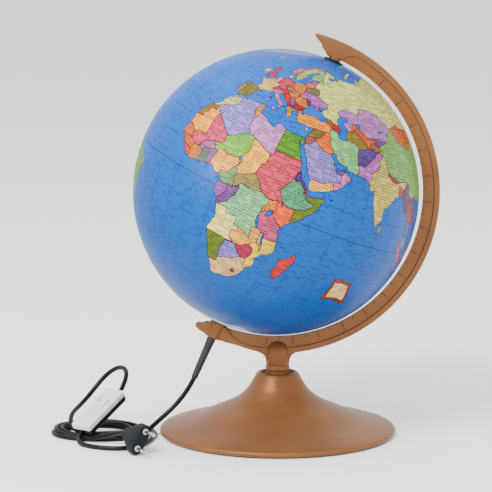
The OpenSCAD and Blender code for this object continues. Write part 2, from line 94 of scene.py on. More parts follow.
# Clockwise from above: along the front, round the left end, back along the rear, three turns and a bit
long_turns = round_the_hank([
    (320, 1.5, 4.2), (300, 1, 2.5), (262, 3.5, 2.5), (235, 5.2, 2.5), (180, 2.6, 7), (90, 2.6, 7), (0, 8.5, 2.5),
    (-60, 3.6, 7), (-90, 6, 6.4), (-125, 10.4, 2.5), (-180, 5.2, 2.5), (-270, 5.2, 2.5), (-360, 17, 2.5),
    (-420, 6.2, 2.5), (-450, 10, 2.5), (-485, 13, 2.7), (-540, 7.8, 7), (-630, 7.8, 7), (-720, 22.4, 2.5),
    (-780, 8.8, 7), (-812, 14, 6), (-840, 18, 4.6), (-872, 15.5, 9), (-885, 15, 13)])
# Anticlockwise from above, outermost all the way
short_turns = round_the_hank([(0, -0.4, 2.5), (90, 0, 2.5), (180, 0, 2.5), (252, 0, 2.5), (262, -1.5, 3.4)])


def smooth_line(points, steps):
    """Points on a smooth curve through a list of points."""
    count = len(points)
    line = []
    for i in range(count - 1):
        p0, p1, p2, p3 = (Vector(points[min(max(k, 0), count - 1)]) for k in (i - 1, i, i + 1, i + 2))
        for k in range(steps):
            t = k / steps
            line.append(0.5 * (2 * p1 + (p2 - p0) * t + (2 * p0 - 5 * p1 + 4 * p2 - p3) * t * t
                               + (3 * p1 - p0 - 3 * p2 + p3) * t ** 3))
    return line + [Vector(points[-1])]


def settled(line, gap=2.0, passes=30):
    """The line in even steps, eased as a springy lead eases its own sharp turns; its ends stay put."""
    even, left = [line[0]], gap
    for here, onward in zip(line, line[1:]):
        while (onward - here).length >= left:
            here = here.lerp(onward, left / (onward - here).length)
            even.append(here)
            left = gap
        left -= (onward - here).length
    even.append(line[-1])
    for _ in range(passes):
        even = even[:2] + [(a + 2 * b + c) / 4 for a, b, c in zip(even[1:], even[2:], even[3:])] + even[-2:]
    return even


def lay_lead(name, route):
    """A mains lead of round section on a smooth curve through a route in millimetres, and the line it follows."""
    path = [p * MM for p in settled(smooth_line(route, 6))]
    curve = bpy.data.curves.new(name, "CURVE")
    curve.dimensions = "3D"
    curve.bevel_depth = LEAD_D / 2 * MM
    curve.bevel_resolution = 4
    curve.use_fill_caps = True
    spline = curve.splines.new("POLY")
    spline.points.add(len(path) - 1)
    for knot, p in zip(spline.points, path):
        knot.co = (*p, 1)
    holder = bpy.data.objects.new(name, curve)
    mesh = bpy.data.meshes.new_from_object(holder)
    bpy.data.objects.remove(holder)
    bpy.data.curves.remove(curve)
    mesh.name = name
    mesh.shade_smooth()
    lead = bpy.data.objects.new(name, mesh)
    bpy.context.scene.collection.objects.link(lead)
    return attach(lead, "stand"), path


long_lead, long_path = lay_lead("long_lead", lead_route + long_turns + loop_route[::-1])
short_lead, short_path = lay_lead("short_lead", tail_route + short_turns + plug_route[::-1])
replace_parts(long_lead, "cord_lead", "cord_hank", "cord_loop")
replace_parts(short_lead, "cord_tail", "cord_plug")

# ---------------------------------------------------------------- shaping


def piece(name, bm, body, cad_nodes, angle=40):
    """Turns a bmesh in millimetres into a smooth-shaded piece that stands for its CAD nodes."""
    bmesh.ops.recalc_face_normals(bm, faces=bm.faces[:])
    bmesh.ops.scale(bm, vec=(MM, MM, MM), verts=bm.verts[:])
    mesh = bpy.data.meshes.new(name)
    bm.to_mesh(mesh)
    bm.free()
    made = bpy.data.objects.new(name, mesh)
    bpy.context.scene.collection.objects.link(made)
    mesh.shade_smooth()
    mesh.set_sharp_from_angle(angle=math.radians(angle))
    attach(made, body)
    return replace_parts(made, *cad_nodes) if cad_nodes else made


def skin(bm, loops, cap_first=True, cap_last=True):
    """Joins loops of points, each of the same count, into a closed skin."""
    rings = [[bm.verts.new(p) for p in loop] for loop in loops]
    for a, b in zip(rings, rings[1:]):
        for i in range(len(a)):
            j = (i + 1) % len(a)
            bm.faces.new((a[i], a[j], b[j], b[i]))
    if cap_first:
        bm.faces.new(rings[0][::-1])
    if cap_last:
        bm.faces.new(rings[-1])
    return rings


def turned(bm, profile, place=Matrix(), count=96):
    """A profile of (radius, height) turned about Z; a radius of 0 closes the end in a point."""
    rings = []
    for r, z in profile:
        if r == 0:
            rings.append([bm.verts.new(place @ Vector((0, 0, z)))])
        else:
            rings.append([bm.verts.new(place @ Vector((r * math.cos(a), r * math.sin(a), z)))
                          for a in (math.tau * i / count for i in range(count))])
    for a, b in zip(rings, rings[1:]):
        for i in range(count):
            j = (i + 1) % count
            corners = [a[i % len(a)], a[j % len(a)], b[j % len(b)], b[i % len(b)]]
            bm.faces.new(list(dict.fromkeys(corners)))


def cut_sheet(bm, outline, thickness, place=Matrix(), round_off=0.0):
    """An outline in the XZ plane given a thickness, with its edges rounded off."""
    part = bmesh.new()
    front = [part.verts.new((x, -thickness / 2, z)) for x, z in outline]
    back = [part.verts.new((x, thickness / 2, z)) for x, z in outline]
    part.faces.new(front)
    part.faces.new(back[::-1])
    rims = []
    for i in range(len(front)):
        j = (i + 1) % len(front)
        part.faces.new((front[i], back[i], back[j], front[j]))
        rims += [(front[i], front[j]), (back[i], back[j])]
    if round_off:
        edges = [part.edges.get(pair) for pair in rims]
        bmesh.ops.bevel(part, geom=edges, offset=round_off, segments=3, profile=0.5, affect="EDGES",
                        clamp_overlap=False)
    bmesh.ops.recalc_face_normals(part, faces=part.faces[:])
    bmesh.ops.triangulate(part, faces=[f for f in part.faces if len(f.verts) > 4])
    part.transform(place)
    mesh = bpy.data.meshes.new("cut")
    part.to_mesh(mesh)
    part.free()
    bm.from_mesh(mesh)
    bpy.data.meshes.remove(mesh)


def rounded_outline(corners, radii, steps=4):
    """A closed outline with each corner rounded to its radius."""
    line = []
    count = len(corners)
    for i, radius in enumerate(radii):
        here = Vector(corners[i])
        before, after = Vector(corners[i - 1]) - here, Vector(corners[(i + 1) % count]) - here
        half = before.angle(after) / 2
        reach = min(radius / math.tan(half), before.length * 0.49, after.length * 0.49)
        radius = reach * math.tan(half)
        centre = here + (before.normalized() + after.normalized()).normalized() * (radius / math.sin(half))
        start = here + before.normalized() * reach - centre
        turn = start.angle_signed(here + after.normalized() * reach - centre)
        for k in range(steps + 1):
            line.append(centre + Matrix.Rotation(-turn * k / steps, 2) @ start)
    return line


# ---------------------------------------------------------------- base and arm

GLOBE_AT = Vector((-2, 0, 258))
TILT = math.radians(23.5)
POLAR = Matrix.Translation(GLOBE_AT) @ Matrix.Rotation(TILT, 4, "Y")
R_GLOBE, R_SHELL = 150.0, 148.0


def on_arc(r, degrees):
    return (r * math.sin(math.radians(degrees)), r * math.cos(math.radians(degrees)))


def arc_points(r, a0, a1, count):
    return [on_arc(r, a0 + (a1 - a0) * i / count) for i in range(count + 1)]


base_bm = bmesh.new()
flank = [(20.8, 65.9), (22, 64.9), (25.5, 58.9), (28, 54.6), (32, 48.5), (40, 40.6), (52, 33.1), (68, 25.9),
         (86, 17.8), (104, 12.4), (119, 8.2), (123.3, 6.6)]
rim = [(121.9 + 3 * math.cos(math.radians(a)), 4 + 3 * math.sin(math.radians(a))) for a in range(40, -91, -13)]
turned(base_bm, [(9.1, 46), (9.1, 62.5), (17.2, 62.5), (17.6, 62.9), (17.9, 65), (18.6, 65.8), (19.6, 66.1)]
       + [tuple(p) for p in smooth_line(flank, 5)] + rim
       + [(119.2, 1), (119.2, 4.4), (104, 9.2), (86, 14.6), (68, 22.6), (52, 29.6), (40, 37), (30, 45), (25, 51),
          (12.6, 54), (12.6, 42), (3.3, 42), (3.3, 46), (9.1, 46)], count=160)
base_moulding = piece("base_moulding", base_bm, "stand", ["base_shell"], 50)

arm_bm = bmesh.new()
upper_head = [(37.3, 161.5), (27.8, 164.9), (21.7, 165.9), (16.8, 165.2), (11.5, 162.4), (8.4, 159.6), (6.5, 156.2),
              (6.4, 153.6), (-6.6, 152.6), (-9, 153.4), (-12.3, 156.2), (-15.8, 159.7), (-19.2, 162),
              (-23.7, 164.2), (-28.8, 167.4), (-28.6, 168.7), (-27.2, 169.8)]
lower_head = [(12, -167.6), (8.4, -168.6), (-1.8, -168.6), (-4.1, -168.2), (-10.2, -167.1), (-16.3, -166.2),
              (-20.2, -165), (-21.7, -163.5), (-21.3, -161.4), (-19.1, -159.9), (-15, -158.7), (-11.3, -157.4),
              (-8.3, -154.8), (-6, -152.6), (8.4, -152.6), (12.3, -153.6), (17.3, -158), (22.8, -161.4),
              (28, -162.7), (36, -162.6)]
edge_taper = [on_arc(171.5 - (a - 160) * 0.34, a) for a in range(162, 175, 2)]
rim_outline = (arc_points(171.5, -8.2, 160, 120) + edge_taper + lower_head
               + arc_points(165.8, 163.5, 14, 110) + upper_head)
cut_sheet(arm_bm, rim_outline, 12, POLAR, round_off=1.3)
cut_sheet(arm_bm, arc_points(154, 2.4, 175.4, 120) + arc_points(168, 175.4, 2.4, 120), 9.6, POLAR, round_off=0.5)
turned(arm_bm, [(2.52, 151.35), (5.9, 151.35), (6.4, 151.85), (6.4, 160), (2.52, 160), (2.52, 151.35)], POLAR, 48)
turned(arm_bm, [(4.02, -168.8), (7.9, -168.8), (8.5, -168.2), (8.5, -151.9), (8, -151.35), (4.02, -151.35),
                (4.02, -168.8)], POLAR, 48)
POST_R = 12.4
dome = [(POST_R * math.cos(math.radians(a)), 88.4 + POST_R * math.sin(math.radians(a))) for a in range(0, 90, 9)]
turned(arm_bm, [(3.02, 46.2), (9, 46.2), (9, 62.6), (POST_R - 0.4, 62.6), (POST_R, 63)]
       + [tuple(p) for p in smooth_line([(POST_R, 66.4), (12.1, 67.5), (12.6, 68.4), (12.95, 70.6), (12.6, 72.9),
                                         (12.05, 73.8), (POST_R, 74.9)], 4)]
       + dome + [(0, 88.4 + POST_R)], count=72)
WEB_OUTER = 171.5


def web_side(side, r):
    """The hollow of the web on one side of the post, tangent to the post and to the arm."""
    x = side * (POST_R + r)
    z = GLOBE_AT.z - math.sqrt((WEB_OUTER + r) ** 2 - (x - GLOBE_AT.x) ** 2)
    toward = (Vector((GLOBE_AT.x, GLOBE_AT.z)) - Vector((x, z))).normalized()
    start = math.atan2(0, -side)
    end = math.atan2(toward.y, toward.x)
    if abs(end - start) > math.pi:
        start -= math.tau * math.copysign(1, start - end)
    return [(x + r * math.cos(start + (end - start) * i / 12), z + r * math.sin(start + (end - start) * i / 12))
            for i in range(13)]


web_left, web_right = web_side(-1, 9), web_side(1, 11)
cut_sheet(arm_bm, web_left + [(web_left[-1][0] + 2, web_left[-1][1] + 6), (web_right[-1][0] - 2, web_right[-1][1] + 6)]
          + web_right[::-1], 10)
arm_moulding = piece("arm_moulding", arm_bm, "stand", ["meridian_arm"], 38)

# Printed scale on both faces of the band: a long line each ten degrees, a short one between, numbers
scale_and_shade_bm = bmesh.new()
BAND_FACE = 4.8


def ink_strip(bm, corners, y):
    """A thin mark a tenth of a millimetre proud of the band's face: the printed scale, and the painted shade along the
    groove.
    """
    skin(bm, [[(x, y - 0.05, z) for x, z in corners], [(x, y + 0.05, z) for x, z in corners]])


for face in (-1, 1):
    for latitude in range(-70, 76, 5):
        angle = 90 - latitude
        long_line = latitude % 10 == 0
        r0, r1 = (154.4, 160.4) if long_line else (154.4, 157.2)
        wide = 0.46 if long_line else 0.34
        (x0, z0), (x1, z1) = on_arc(r0, angle), on_arc(r1, angle)
        across = Vector(on_arc(wide, angle + 90))
        ink_strip(scale_and_shade_bm, [(x0 - across.x, z0 - across.y), (x1 - across.x, z1 - across.y),
                             (x1 + across.x, z1 + across.y), (x0 + across.x, z0 + across.y)], face * BAND_FACE)
    for latitude in range(-70, 71, 10):
        words = bpy.data.curves.new("number", "FONT")
        words.body = str(abs(latitude))
        words.size = 3.1
        words.align_x = "CENTER"
        words.extrude = 0.05
        words.resolution_u = 2
        holder = bpy.data.objects.new("number", words)
        mesh = bpy.data.meshes.new_from_object(holder)
        x, z = on_arc(161.4, 90 - latitude)
        stand_up = Matrix.Rotation(math.radians(90), 4, "X") if face < 0 else (
            Matrix.Rotation(math.pi, 4, "Z") @ Matrix.Rotation(math.radians(90), 4, "X"))
        roll = Matrix.Rotation(math.radians(90 - latitude), 4, "Y")
        mesh.transform(Matrix.Translation((x, face * BAND_FACE, z)) @ roll @ stand_up)
        scale_and_shade_bm.from_mesh(mesh)
        bpy.data.objects.remove(holder)
        bpy.data.curves.remove(words)
        bpy.data.meshes.remove(mesh)
# Painted shade: a dark strip along the foot of the rim, where the step down to the band falls in shade, from one head
# to the other
groove = [Vector(p) for p in lower_head[-5:] + arc_points(165.8, 163.5, 14, 110) + upper_head[:8]]
LINE_WIDE = 0.75
inner_line = []
for i, point in enumerate(groove):
    ahead = groove[min(i + 1, len(groove) - 1)] - groove[max(i - 1, 0)]
    inner_line.append(point + Vector((-ahead.y, ahead.x)).normalized() * LINE_WIDE)
for face in (-1, 1):
    for i in range(len(groove) - 1):
        ink_strip(scale_and_shade_bm, [groove[i], groove[i + 1], inner_line[i + 1], inner_line[i]], face * BAND_FACE)
scale_and_shade_bm.transform(POLAR)
scale_and_groove_shade = piece("scale_and_groove_shade", scale_and_shade_bm, "stand", [])

# ---------------------------------------------------------------- strain relief, switch, plug

relief_bm = bmesh.new()
ribs = []
for i in range(12):
    u, r = -174.8 - i * 3.1, 4.55 - i * 0.085
    ribs += [(r - 0.1, u + 0.05), (r, u - 0.15), (r, u - 1.85), (r - 0.12, u - 2.05), (r - 0.5, u - 2.3),
             (r - 0.5, u - 2.8)]
turned(relief_bm, [(2.6, -161.2), (3.98, -161.2), (3.98, -168.8), (4.6, -168.8), (4.75, -169), (4.7, -173.6)] + ribs
       + [(3.6, -212.2), (3.55, -212.6), (3.45, -216.2), (3.1, -216.8), (2.6, -216.8), (2.6, -161.2)], POLAR, 48)
relief_sleeve = piece("relief_sleeve", relief_bm, "stand", ["strain_relief"], 50)

SWITCH = (Matrix.Translation((-187.5, -25, 27.5)) @ Matrix.Rotation(math.radians(51), 4, "Z")
          @ Matrix.Rotation(math.radians(-28), 4, "Y"))
ROCKER_X, ROCKER_Z = 2.3, 2.6


def box_outline(length, width, low_r, high_r, at_x=0.0):
    """A rounded rectangle: one corner radius at the low end and one at the high end."""
    l, w = length / 2, width / 2
    corners = [(at_x - l, -w), (at_x + l, -w), (at_x + l, w), (at_x - l, w)]
    return rounded_outline(corners, [low_r, high_r, high_r, low_r], 5)


def level(outline, z):
    return [SWITCH @ Vector((p.x, p.y, z)) for p in outline]


def switch_ring(inset, z):
    return level(box_outline(64 - 2 * inset, 25 - 2 * inset, 2.4 - inset * 0.4, 3.8 - inset * 0.4), z)


def well(grow, z):
    return level(box_outline(22.7 + grow, 12.7 + grow, 1.2, 1.2, ROCKER_X), z)


bottom_bm = bmesh.new()
skin(bottom_bm, [switch_ring(3.4, -6.5), switch_ring(2, -6.2), switch_ring(0.9, -5.3), switch_ring(0.25, -4),
                 switch_ring(0, -2.4), switch_ring(0, 0.1), switch_ring(0.25, 0.35), switch_ring(1.4, 0.35),
                 switch_ring(1.5, -5)])
switch_bottom = piece("switch_bottom", bottom_bm, "stand", ["switch_base"], 45)
top_bm = bmesh.new()
skin(top_bm, [switch_ring(1.4, 0.45), switch_ring(0.2, 0.45), switch_ring(0, 0.65), switch_ring(0, 4.9),
              switch_ring(0.25, 5.8), switch_ring(0.8, 6.3), switch_ring(1.5, 6.5), well(0.9, 6.5), well(0.2, 6.35),
              well(0, 6), well(0, 1)], cap_first=True, cap_last=True)
switch_top = piece("switch_top", top_bm, "stand", ["switch_cover"], 45)

key_bm = bmesh.new()
key_line = ([(11 * math.cos(math.radians(a)), 11 * math.sin(math.radians(a))) for a in range(0, 27, 4)]
            + [(9.6, 5.05), (1.2, 4.4), (-1.2, 4.4), (-9.6, 5.05)]
            + [(-11 * math.cos(math.radians(a)), 11 * math.sin(math.radians(a))) for a in range(24, -1, -4)]
            + [(-10.9, -0.9), (-3, -2.4), (3, -2.4), (10.9, -0.9)])
ROCKER = SWITCH @ Matrix.Translation((ROCKER_X, 0, ROCKER_Z)) @ Matrix.Rotation(math.radians(-8), 4, "Y")
cut_sheet(key_bm, key_line, 12, ROCKER, round_off=0.45)
# The paler ring moulded round the red dot
dot_place = ROCKER @ Matrix.Translation((7, 0, 0)) @ Matrix.Rotation(math.radians(-3.5), 4, "Y")
turned(key_bm, [(1.4, 4.6), (1.4, 5.02), (1.7, 5.12), (2.15, 5.0), (2.2, 4.6), (1.4, 4.6)], dot_place, 32)
switch_key = piece("switch_key", key_bm, "rocker", ["switch_rocker"], 45)

PLUG = (Matrix.Translation((-139.5, -108, 16)) @ Matrix.Rotation(math.radians(-60), 4, "Z")
        @ Matrix.Rotation(math.radians(-30), 4, "X"))


def plug_section(x, half_w, half_t, soften):
    """The plug's six-sided section at one place along it."""
    shoulder = half_w - 6 * half_w / 16.5
    flat = 3 * half_w / 16.5
    corners = [(-half_t, -shoulder), (-flat, -half_w), (flat, -half_w), (half_t, -shoulder),
               (half_t, shoulder), (flat, half_w), (-flat, half_w), (-half_t, shoulder)]
    return [PLUG @ Vector((x, p.x, p.y)) for p in rounded_outline(corners, [soften] * 8, 3)]


plug_bm = bmesh.new()
skin(plug_bm, [plug_section(-34, 4.6, 4.6, 2.2), plug_section(-33.6, 5.4, 5.3, 2.2), plug_section(-32, 6, 5.8, 2.2),
               plug_section(-28, 7.4, 6.3, 2.2), plug_section(-25.5, 9, 6.6, 2.2), plug_section(-18, 13, 6.8, 2.2),
               plug_section(-12.5, 15.9, 6.8, 2.2), plug_section(-10.5, 16.5, 6.8, 2.2),
               plug_section(-1.4, 16.5, 6.8, 2.0), plug_section(-0.4, 16.1, 6.5, 1.8),
               plug_section(0, 15.3, 5.9, 1.4)])
plug_moulding = piece("plug_moulding", plug_bm, "stand", ["plug_body"], 32)

# ---------------------------------------------------------------- the map printed on the ball

# Outlines are longitude and latitude pairs in degrees, sketched
LANDS = {
    "africa": "-5.9 35.8 -4.5 35.2 -2.9 35.3 -0.6 35.8 1.3 36.5 3 36.9 5.1 36.8 7.3 37 9.8 37.3 11 37 10.5 36.3"
    " 10.8 35.4 10.1 34.3 11.1 33.4 12.3 32.9 14.2 32.7 15.3 32.2 15.8 31.4 17.9 30.6 19.2 30.3 20.1 31 20 32.1"
    " 21.5 32.9 23.1 32.3 25 31.6 27.3 31.2 29 30.9 30.4 31.5 31.9 31.4 34.2 31.3 34.9 29.5 34.3 27.8 33.2 28.6"
    " 32.6 29.8 32.8 29 33.6 27.7 34.5 26 35.5 24 35.7 23 36.9 22 37.2 20.8 37.2 19.2 38.5 18 39.5 15.6 41.2 14.6"
    " 42.8 12.8 43.3 11.6 44.5 10.4 47 11.1 51.2 11.9 51 10.4 50.2 8 48.2 4.5 46 2.4 43.5 -0.5 41.5 -1.8 40.2 -2.7"
    " 39.3 -4.5 38.8 -6.2 39.5 -7.2 39.6 -9 40.4 -10.6 40.6 -12.5 40.7 -15 39.8 -16.4 37.2 -17.7 35 -19.8 34.8 -20.8"
    " 35.5 -22.1 35.4 -24 33.2 -25.3 32.7 -26 32.9 -27 31.9 -28.9 30.8 -30.8 28.9 -32.6 27.3 -33.4 25.7 -33.9"
    " 22.5 -34.1 20 -34.8 18.4 -34.1 18.2 -32.8 17.2 -30 16.4 -28.6 15.1 -26.6 14.5 -23.5 13.7 -21.8 12.3 -18.5"
    " 11.8 -16.5 12.6 -13.5 13.7 -11 13.2 -9 12.3 -6.1 11.5 -4.3 9 -1.5 9.3 0.5 9.8 2.5 9.5 3.8 8.6 4.6 7 4.4"
    " 5.6 5.3 4.4 6.4 2.5 6.3 1.2 6 -2 4.8 -4 5.2 -7.5 4.4 -9.5 5.5 -11.4 6.9 -13.2 8.6 -13.8 9.8 -15 10.9"
    " -16.7 12.3 -16.8 13.5 -17.4 14.7 -16.5 16 -16.2 18.6 -17 20.9 -16.2 22.5 -15.8 23.8 -14.8 25.5 -13.2 27.4"
    " -11.5 28.4 -10 29.5 -9.7 30.5 -9.8 31.5 -8.5 33.2 -6.8 34.1",
    "eurasia": "34.3 31.2 35 33 35.9 35 36.1 36.7 34.5 36.7 33 36.1 30.8 36.9 30 36.2 28.2 36.7 27.3 37.4 26.4 38.5"
    " 26.8 39.4 26.2 40.1 26.1 40.6 24.5 40.9 24.2 40.1 22.9 40.4 22.9 39.4 24 38 23.1 37.3 22.6 36.5 21.6 36.9"
    " 21.3 38 20.2 39.5 19.4 40.4 19.5 41.9 17.5 43 15.2 44.2 14 45.1 13.6 45.6 12.3 45.3 12.4 44.2 13.6 43.5"
    " 14.2 42.4 16.1 41.8 18.4 40.2 16.9 40.5 16.6 39.7 17.1 39 16 38 15.7 38.2 15.9 39.5 14.3 40.8 12.3 41.8"
    " 10.6 42.9 10.2 43.9 8.8 44.4 7.4 43.7 5 43.3 3.1 43.1 3.2 42.2 0.8 41 -0.3 39.5 0.2 38.8 -0.7 37.7 -2.1 36.8"
    " -4.4 36.7 -5.6 36.1 -6.4 36.8 -7.4 37.2 -8.9 37 -9.4 38.7 -8.8 40.5 -8.9 42 -9.2 43.1 -7.8 43.7 -4 43.4"
    " -1.8 43.4 -1.2 44.6 -1.2 46 -2.5 47.3 -4.7 48.1 -3.5 48.8 -1.6 48.7 -1.8 49.7 0.2 49.6 1.6 50.9 3.5 51.4"
    " 4.7 53 7 53.5 8.6 53.9 8.1 55.5 8.2 57 10.5 57.7 10.4 56.5 10 55.2 11 54 14.2 54 16.5 54.5 18.6 54.7"
    " 19.8 54.5 21.1 55.5 21 57 22 57.6 23.3 57 24.4 57.3 23.6 58.8 25 59.5 28 59.6 30 60 28.5 60.6 25 60.2"
    " 22.9 59.9 21.3 61 21.4 62.9 24.9 64.9 25.3 65.6 22.2 65.7 21 64.5 17.5 62.4 17.2 60.8 18.8 59.9 16.6 58.5"
    " 16.3 57 15 56 12.8 55.6 11.9 57.5 11 59 10 59.2 8 58.1 5.6 58.8 5.1 61 6.5 62.8 10 64.2 12.8 66.5 15.5 68.5"
    " 20 70 25.5 71 31 70.3 33.5 69.4 41 67.7 40 66.4 35 66.6 34.8 64.4 38 64 40 65.8 44 66 43.5 68.3 46.5 68"
    " 54 68.3 60 68.8 65 69 68.5 68.3 67 70 69 72.7 72.7 72.6 73 70 73.5 68 74.5 71 75 72.5 80.5 73.5 87 75"
    " 98 76.2 104 77.6 113 75.8 113 74 127 73.2 130 71 140 72.5 150 71.6 160 69.7 170 69.5 178 69.3 189.5 66.3"
    " 188 64.4 180 62.5 173 61.2 170 60 163.5 59.8 162 57 160 53 156.7 51 155.7 56 161 60.5 163.7 62.3 156 61.5"
    " 151 59.2 142.5 59.2 137 54.5 141 52.5 140.5 48 135.5 44 132 43.1 130 42 127.5 39.8 129.4 37 129.2 35.2"
    " 126.5 34.4 126.6 37.3 125 38 124.5 40 121.5 39 122 40.6 118 39 119.5 37.3 122.5 37 119.5 35 121.8 31.7"
    " 121.7 28.5 119 25.5 116.5 23 111 21.3 110 20.4 109.7 21.5 106.7 20.5 105.7 18.8 108.8 15.5 109.3 12.5"
    " 107 10.4 104.8 8.7 105 10.2 102.6 12 100.9 13.4 99.5 11.5 99.3 9.4 100.5 7.2 103.3 4.5 103.7 1.4 101.3 2.8"
    " 100.3 5.6 98.5 8.2 98.6 12.5 97.6 16.4 95.4 15.8 94.3 17.5 92.3 20.8 91.5 22.7 89 21.8 87 21.4 85 19.5"
    " 82.3 16.7 80.2 15.5 80.3 13 79.8 10.3 78.2 8.9 77.5 8.1 76.3 9.8 74.8 13 73.4 16.5 72.8 19.3 72.6 21.5"
    " 70.8 20.8 69 22.3 70.3 22.9 68.2 23.7 66.9 24.9 64.5 25.2 61.5 25.1 57.3 25.7 56.8 27.1 54.5 26.6 51.5 27.8"
    " 50.2 30 48 30 48.5 28.5 50.1 26.6 50.8 24.8 51.2 26 51.6 24.5 54 24.1 56.2 26.2 56.4 24.6 58.7 23.6"
    " 59.8 22.5 57.8 20.2 57.5 18.9 55.2 17.4 52.2 15.6 48.8 14 45 12.8 43.5 12.7 42.8 14.5 42.7 16.5 41 18.8"
    " 39.2 21.2 38.5 23.5 37.2 25 35.3 28 35 29.5",
    "britain": "-5.5 50.1 -3.5 50.5 1.3 51 1.7 52.7 0.2 53 -1.5 55 -2 57.5 -3 58.6 -5 58.5 -6 56.7 -5 55 -3.2 54.5"
    " -3.1 53.3 -4.6 53 -4.2 52.2 -5.2 51.8 -3 51.4 -4.3 51.1",
    "ireland": "-6.2 52.3 -6 54 -6 55.2 -8 55.1 -10 54.2 -9.9 52 -8.5 51.6",
    "iceland": "-22.5 64 -18.8 63.4 -14 64.8 -15 66.2 -18.2 66.1 -22.3 66.4 -24.3 65.6 -22 65",
    "sicily": "12.5 38 15.6 38.2 15.1 36.7 13 37.5", "sardinia": "8.3 41 9.6 41 9.5 39.2 8.5 39",
    "corsica": "8.6 42.4 9.4 43 9.5 42 9.1 41.4", "crete": "23.6 35.5 26.2 35.2 24.5 34.9",
    "cyprus": "32.4 35 33 35.4 34.5 35.7 33.9 35 32.9 34.6", "mallorca": "2.4 39.7 3.3 39.9 3.1 39.3",
    "svalbard": "11 79.5 20 80.4 27 80 21 78.3 17 76.6 14 77.8",
    "novaya": "52 71 56 70.7 58 73 68.5 76.7 65 77 58 75.5 54 73", "franz": "46 80.5 60 81.7 62 80.6 50 80",
    "severnaya": "95 79.2 100 81 104 79 100 78", "zealand": "11.2 55.6 12.5 56 12.4 55 11.4 55.1",
    "gotland": "18.2 57.3 19.2 57.9 18.6 57",
    "ceylon": "79.8 8 80.2 9.7 81.3 8.5 81.8 7 80.6 6 80 6.3", "socotra": "53.4 12.6 54.4 12.6 53.6 12.2",
    "madagascar": "49.3 -12 50.4 -15.4 49.6 -17 48.5 -20.5 47.3 -24.7 45.3 -25.5 43.8 -24 43.4 -22 44.4 -20 44 -17"
    " 45.5 -15.8 47.4 -14.8 48.3 -13.5",
    "reunion": "55.2 -21 55.8 -20.9 55.6 -21.4", "mauritius": "57.4 -20.1 57.8 -20.2 57.6 -20.5",
    "comoro": "43.2 -11.5 43.6 -11.6 43.4 -12", "mayotte": "44.3 -12.3 44.7 -12.4 44.5 -12.7",
    "mahe": "55.3 -4.5 55.7 -4.6 55.5 -4.9", "kerguelen": "68.8 -48.8 70.3 -49.1 69.8 -49.7 69 -49.5",
    "tenerife": "-16.8 28.5 -16.2 28.5 -16.6 28.1", "fuerte": "-14.3 28.6 -13.9 28.7 -14.2 28.2",
    "gran": "-15.8 28.1 -15.4 28 -15.6 27.8", "verde": "-23.8 15.2 -23.3 15.2 -23.5 14.8",
    "azores": "-25.8 37.8 -25.1 37.8 -25.5 37.6", "bioko": "8.5 3.6 9 3.7 8.8 3.2", "tome": "6.5 .4 6.8 .3 6.6 0",
    "sumatra": "95.4 5.6 98 4.2 100.5 2.2 103.5 -1 106 -3 105.8 -5.8 104.5 -5.7 102 -3.8 100 -1 98.5 1.8 96 4",
    "java": "105.3 -6.7 106.5 -6 108.7 -6.7 110.8 -6.4 112.7 -7 114.5 -7.8 114.3 -8.6 111 -8.2 108 -7.7",
    "borneo": "109 1.5 111 1.7 113.5 3.5 116.8 7 119 5 117.7 3.5 118.8 1 117 -1 116 -4 112 -3.4 110 -2.8 109 -.5",
    "sulawesi": "119 -1 120 .7 123.5 1 125 1.5 124 .5 120.5 .2 121.5 -1 123.2 -.9 121.6 -2 122.8 -4.5 121 -2.9"
    " 120.4 -5.5 119.5 -5.5 119.5 -3.5", "timor": "123.6 -10.3 124 -9.4 127 -8.4 125.5 -9.5",
    "guinea": "131 -.8 134 -.8 135.2 -3.3 138 -1.6 141 -2.6 145 -4.4 147.8 -6 147 -6.9 150.6 -10.5 147 -9.5 144.5 -7.7"
    " 142 -9.2 139 -8 138 -5.7 134 -4 132 -3",
    "luzon": "120.2 16 120.7 18.5 122.2 18.3 121.6 15.8 124 12.8 121 13.7", "mindanao": "122 7 123.5 8.6 125.5 9.8"
    " 126.3 7 125.5 5.8 124 6.8", "hainan": "108.8 19.2 110.6 20 110.5 18.7", "taiwan": "120.2 23 121.6 25.2"
    " 120.9 22", "honshu": "131 34 132.5 35.5 136 35.8 137.5 37.3 139.8 38.8 140.2 41.2 141.8 39.6 140.8 36.5"
    " 139.8 35 137 34.6 135.5 33.6 134 34.6", "kyushu": "129.8 33 131 33.9 131.8 33 131 31.4 130.2 31.3",
    "hokkaido": "140 41.6 140.5 43.3 141.8 45.3 145.2 43.8 143.2 42", "sakhalin": "142 46 142 50 142.5 54 143.3 52"
    " 143.2 49 143 46.8", "shikoku": "132.5 33.8 134.4 34.3 133.5 33.3",
    "australia": "114 -22 114.2 -26.5 115.7 -32 115.3 -34.2 118 -35 123.5 -33.8 129 -31.7 131.5 -31.4 135 -34.5"
    " 137.8 -32.7 138 -35.5 140 -37.8 143.5 -38.8 146.3 -39 150 -37.2 151.5 -33 153.5 -28.5 153 -25.2 149.5 -22"
    " 146.3 -19 145.3 -15 142.6 -10.8 141.6 -14 140.8 -17.5 139 -17.3 135.6 -15 136.7 -12.2 132.7 -11.5 130.7 -12.6"
    " 129.3 -15 126 -14 122.2 -18 118.8 -20.3", "tasmania": "144.8 -40.8 148.2 -40.9 147.8 -43.2 146 -43.5",
    "north_nz": "172.8 -34.5 175.3 -36.7 178.4 -37.8 176.8 -39.6 175.3 -41.6 173.8 -39.3 174.8 -37.8",
    "south_nz": "172.7 -40.6 174.2 -41.8 172.7 -43.6 170.7 -45.9 168.4 -46.6 166.5 -45.9 168.5 -44 171.3 -42.3",
    "greenland": "-44 60 -40 64 -32 68 -22 70.3 -20 75 -18 80 -30 83.3 -45 82.2 -60 81.8 -67 79 -70 77.5 -62 76"
    " -55 71.5 -51 69 -53 66.5 -50 62.5 -46 60.8",
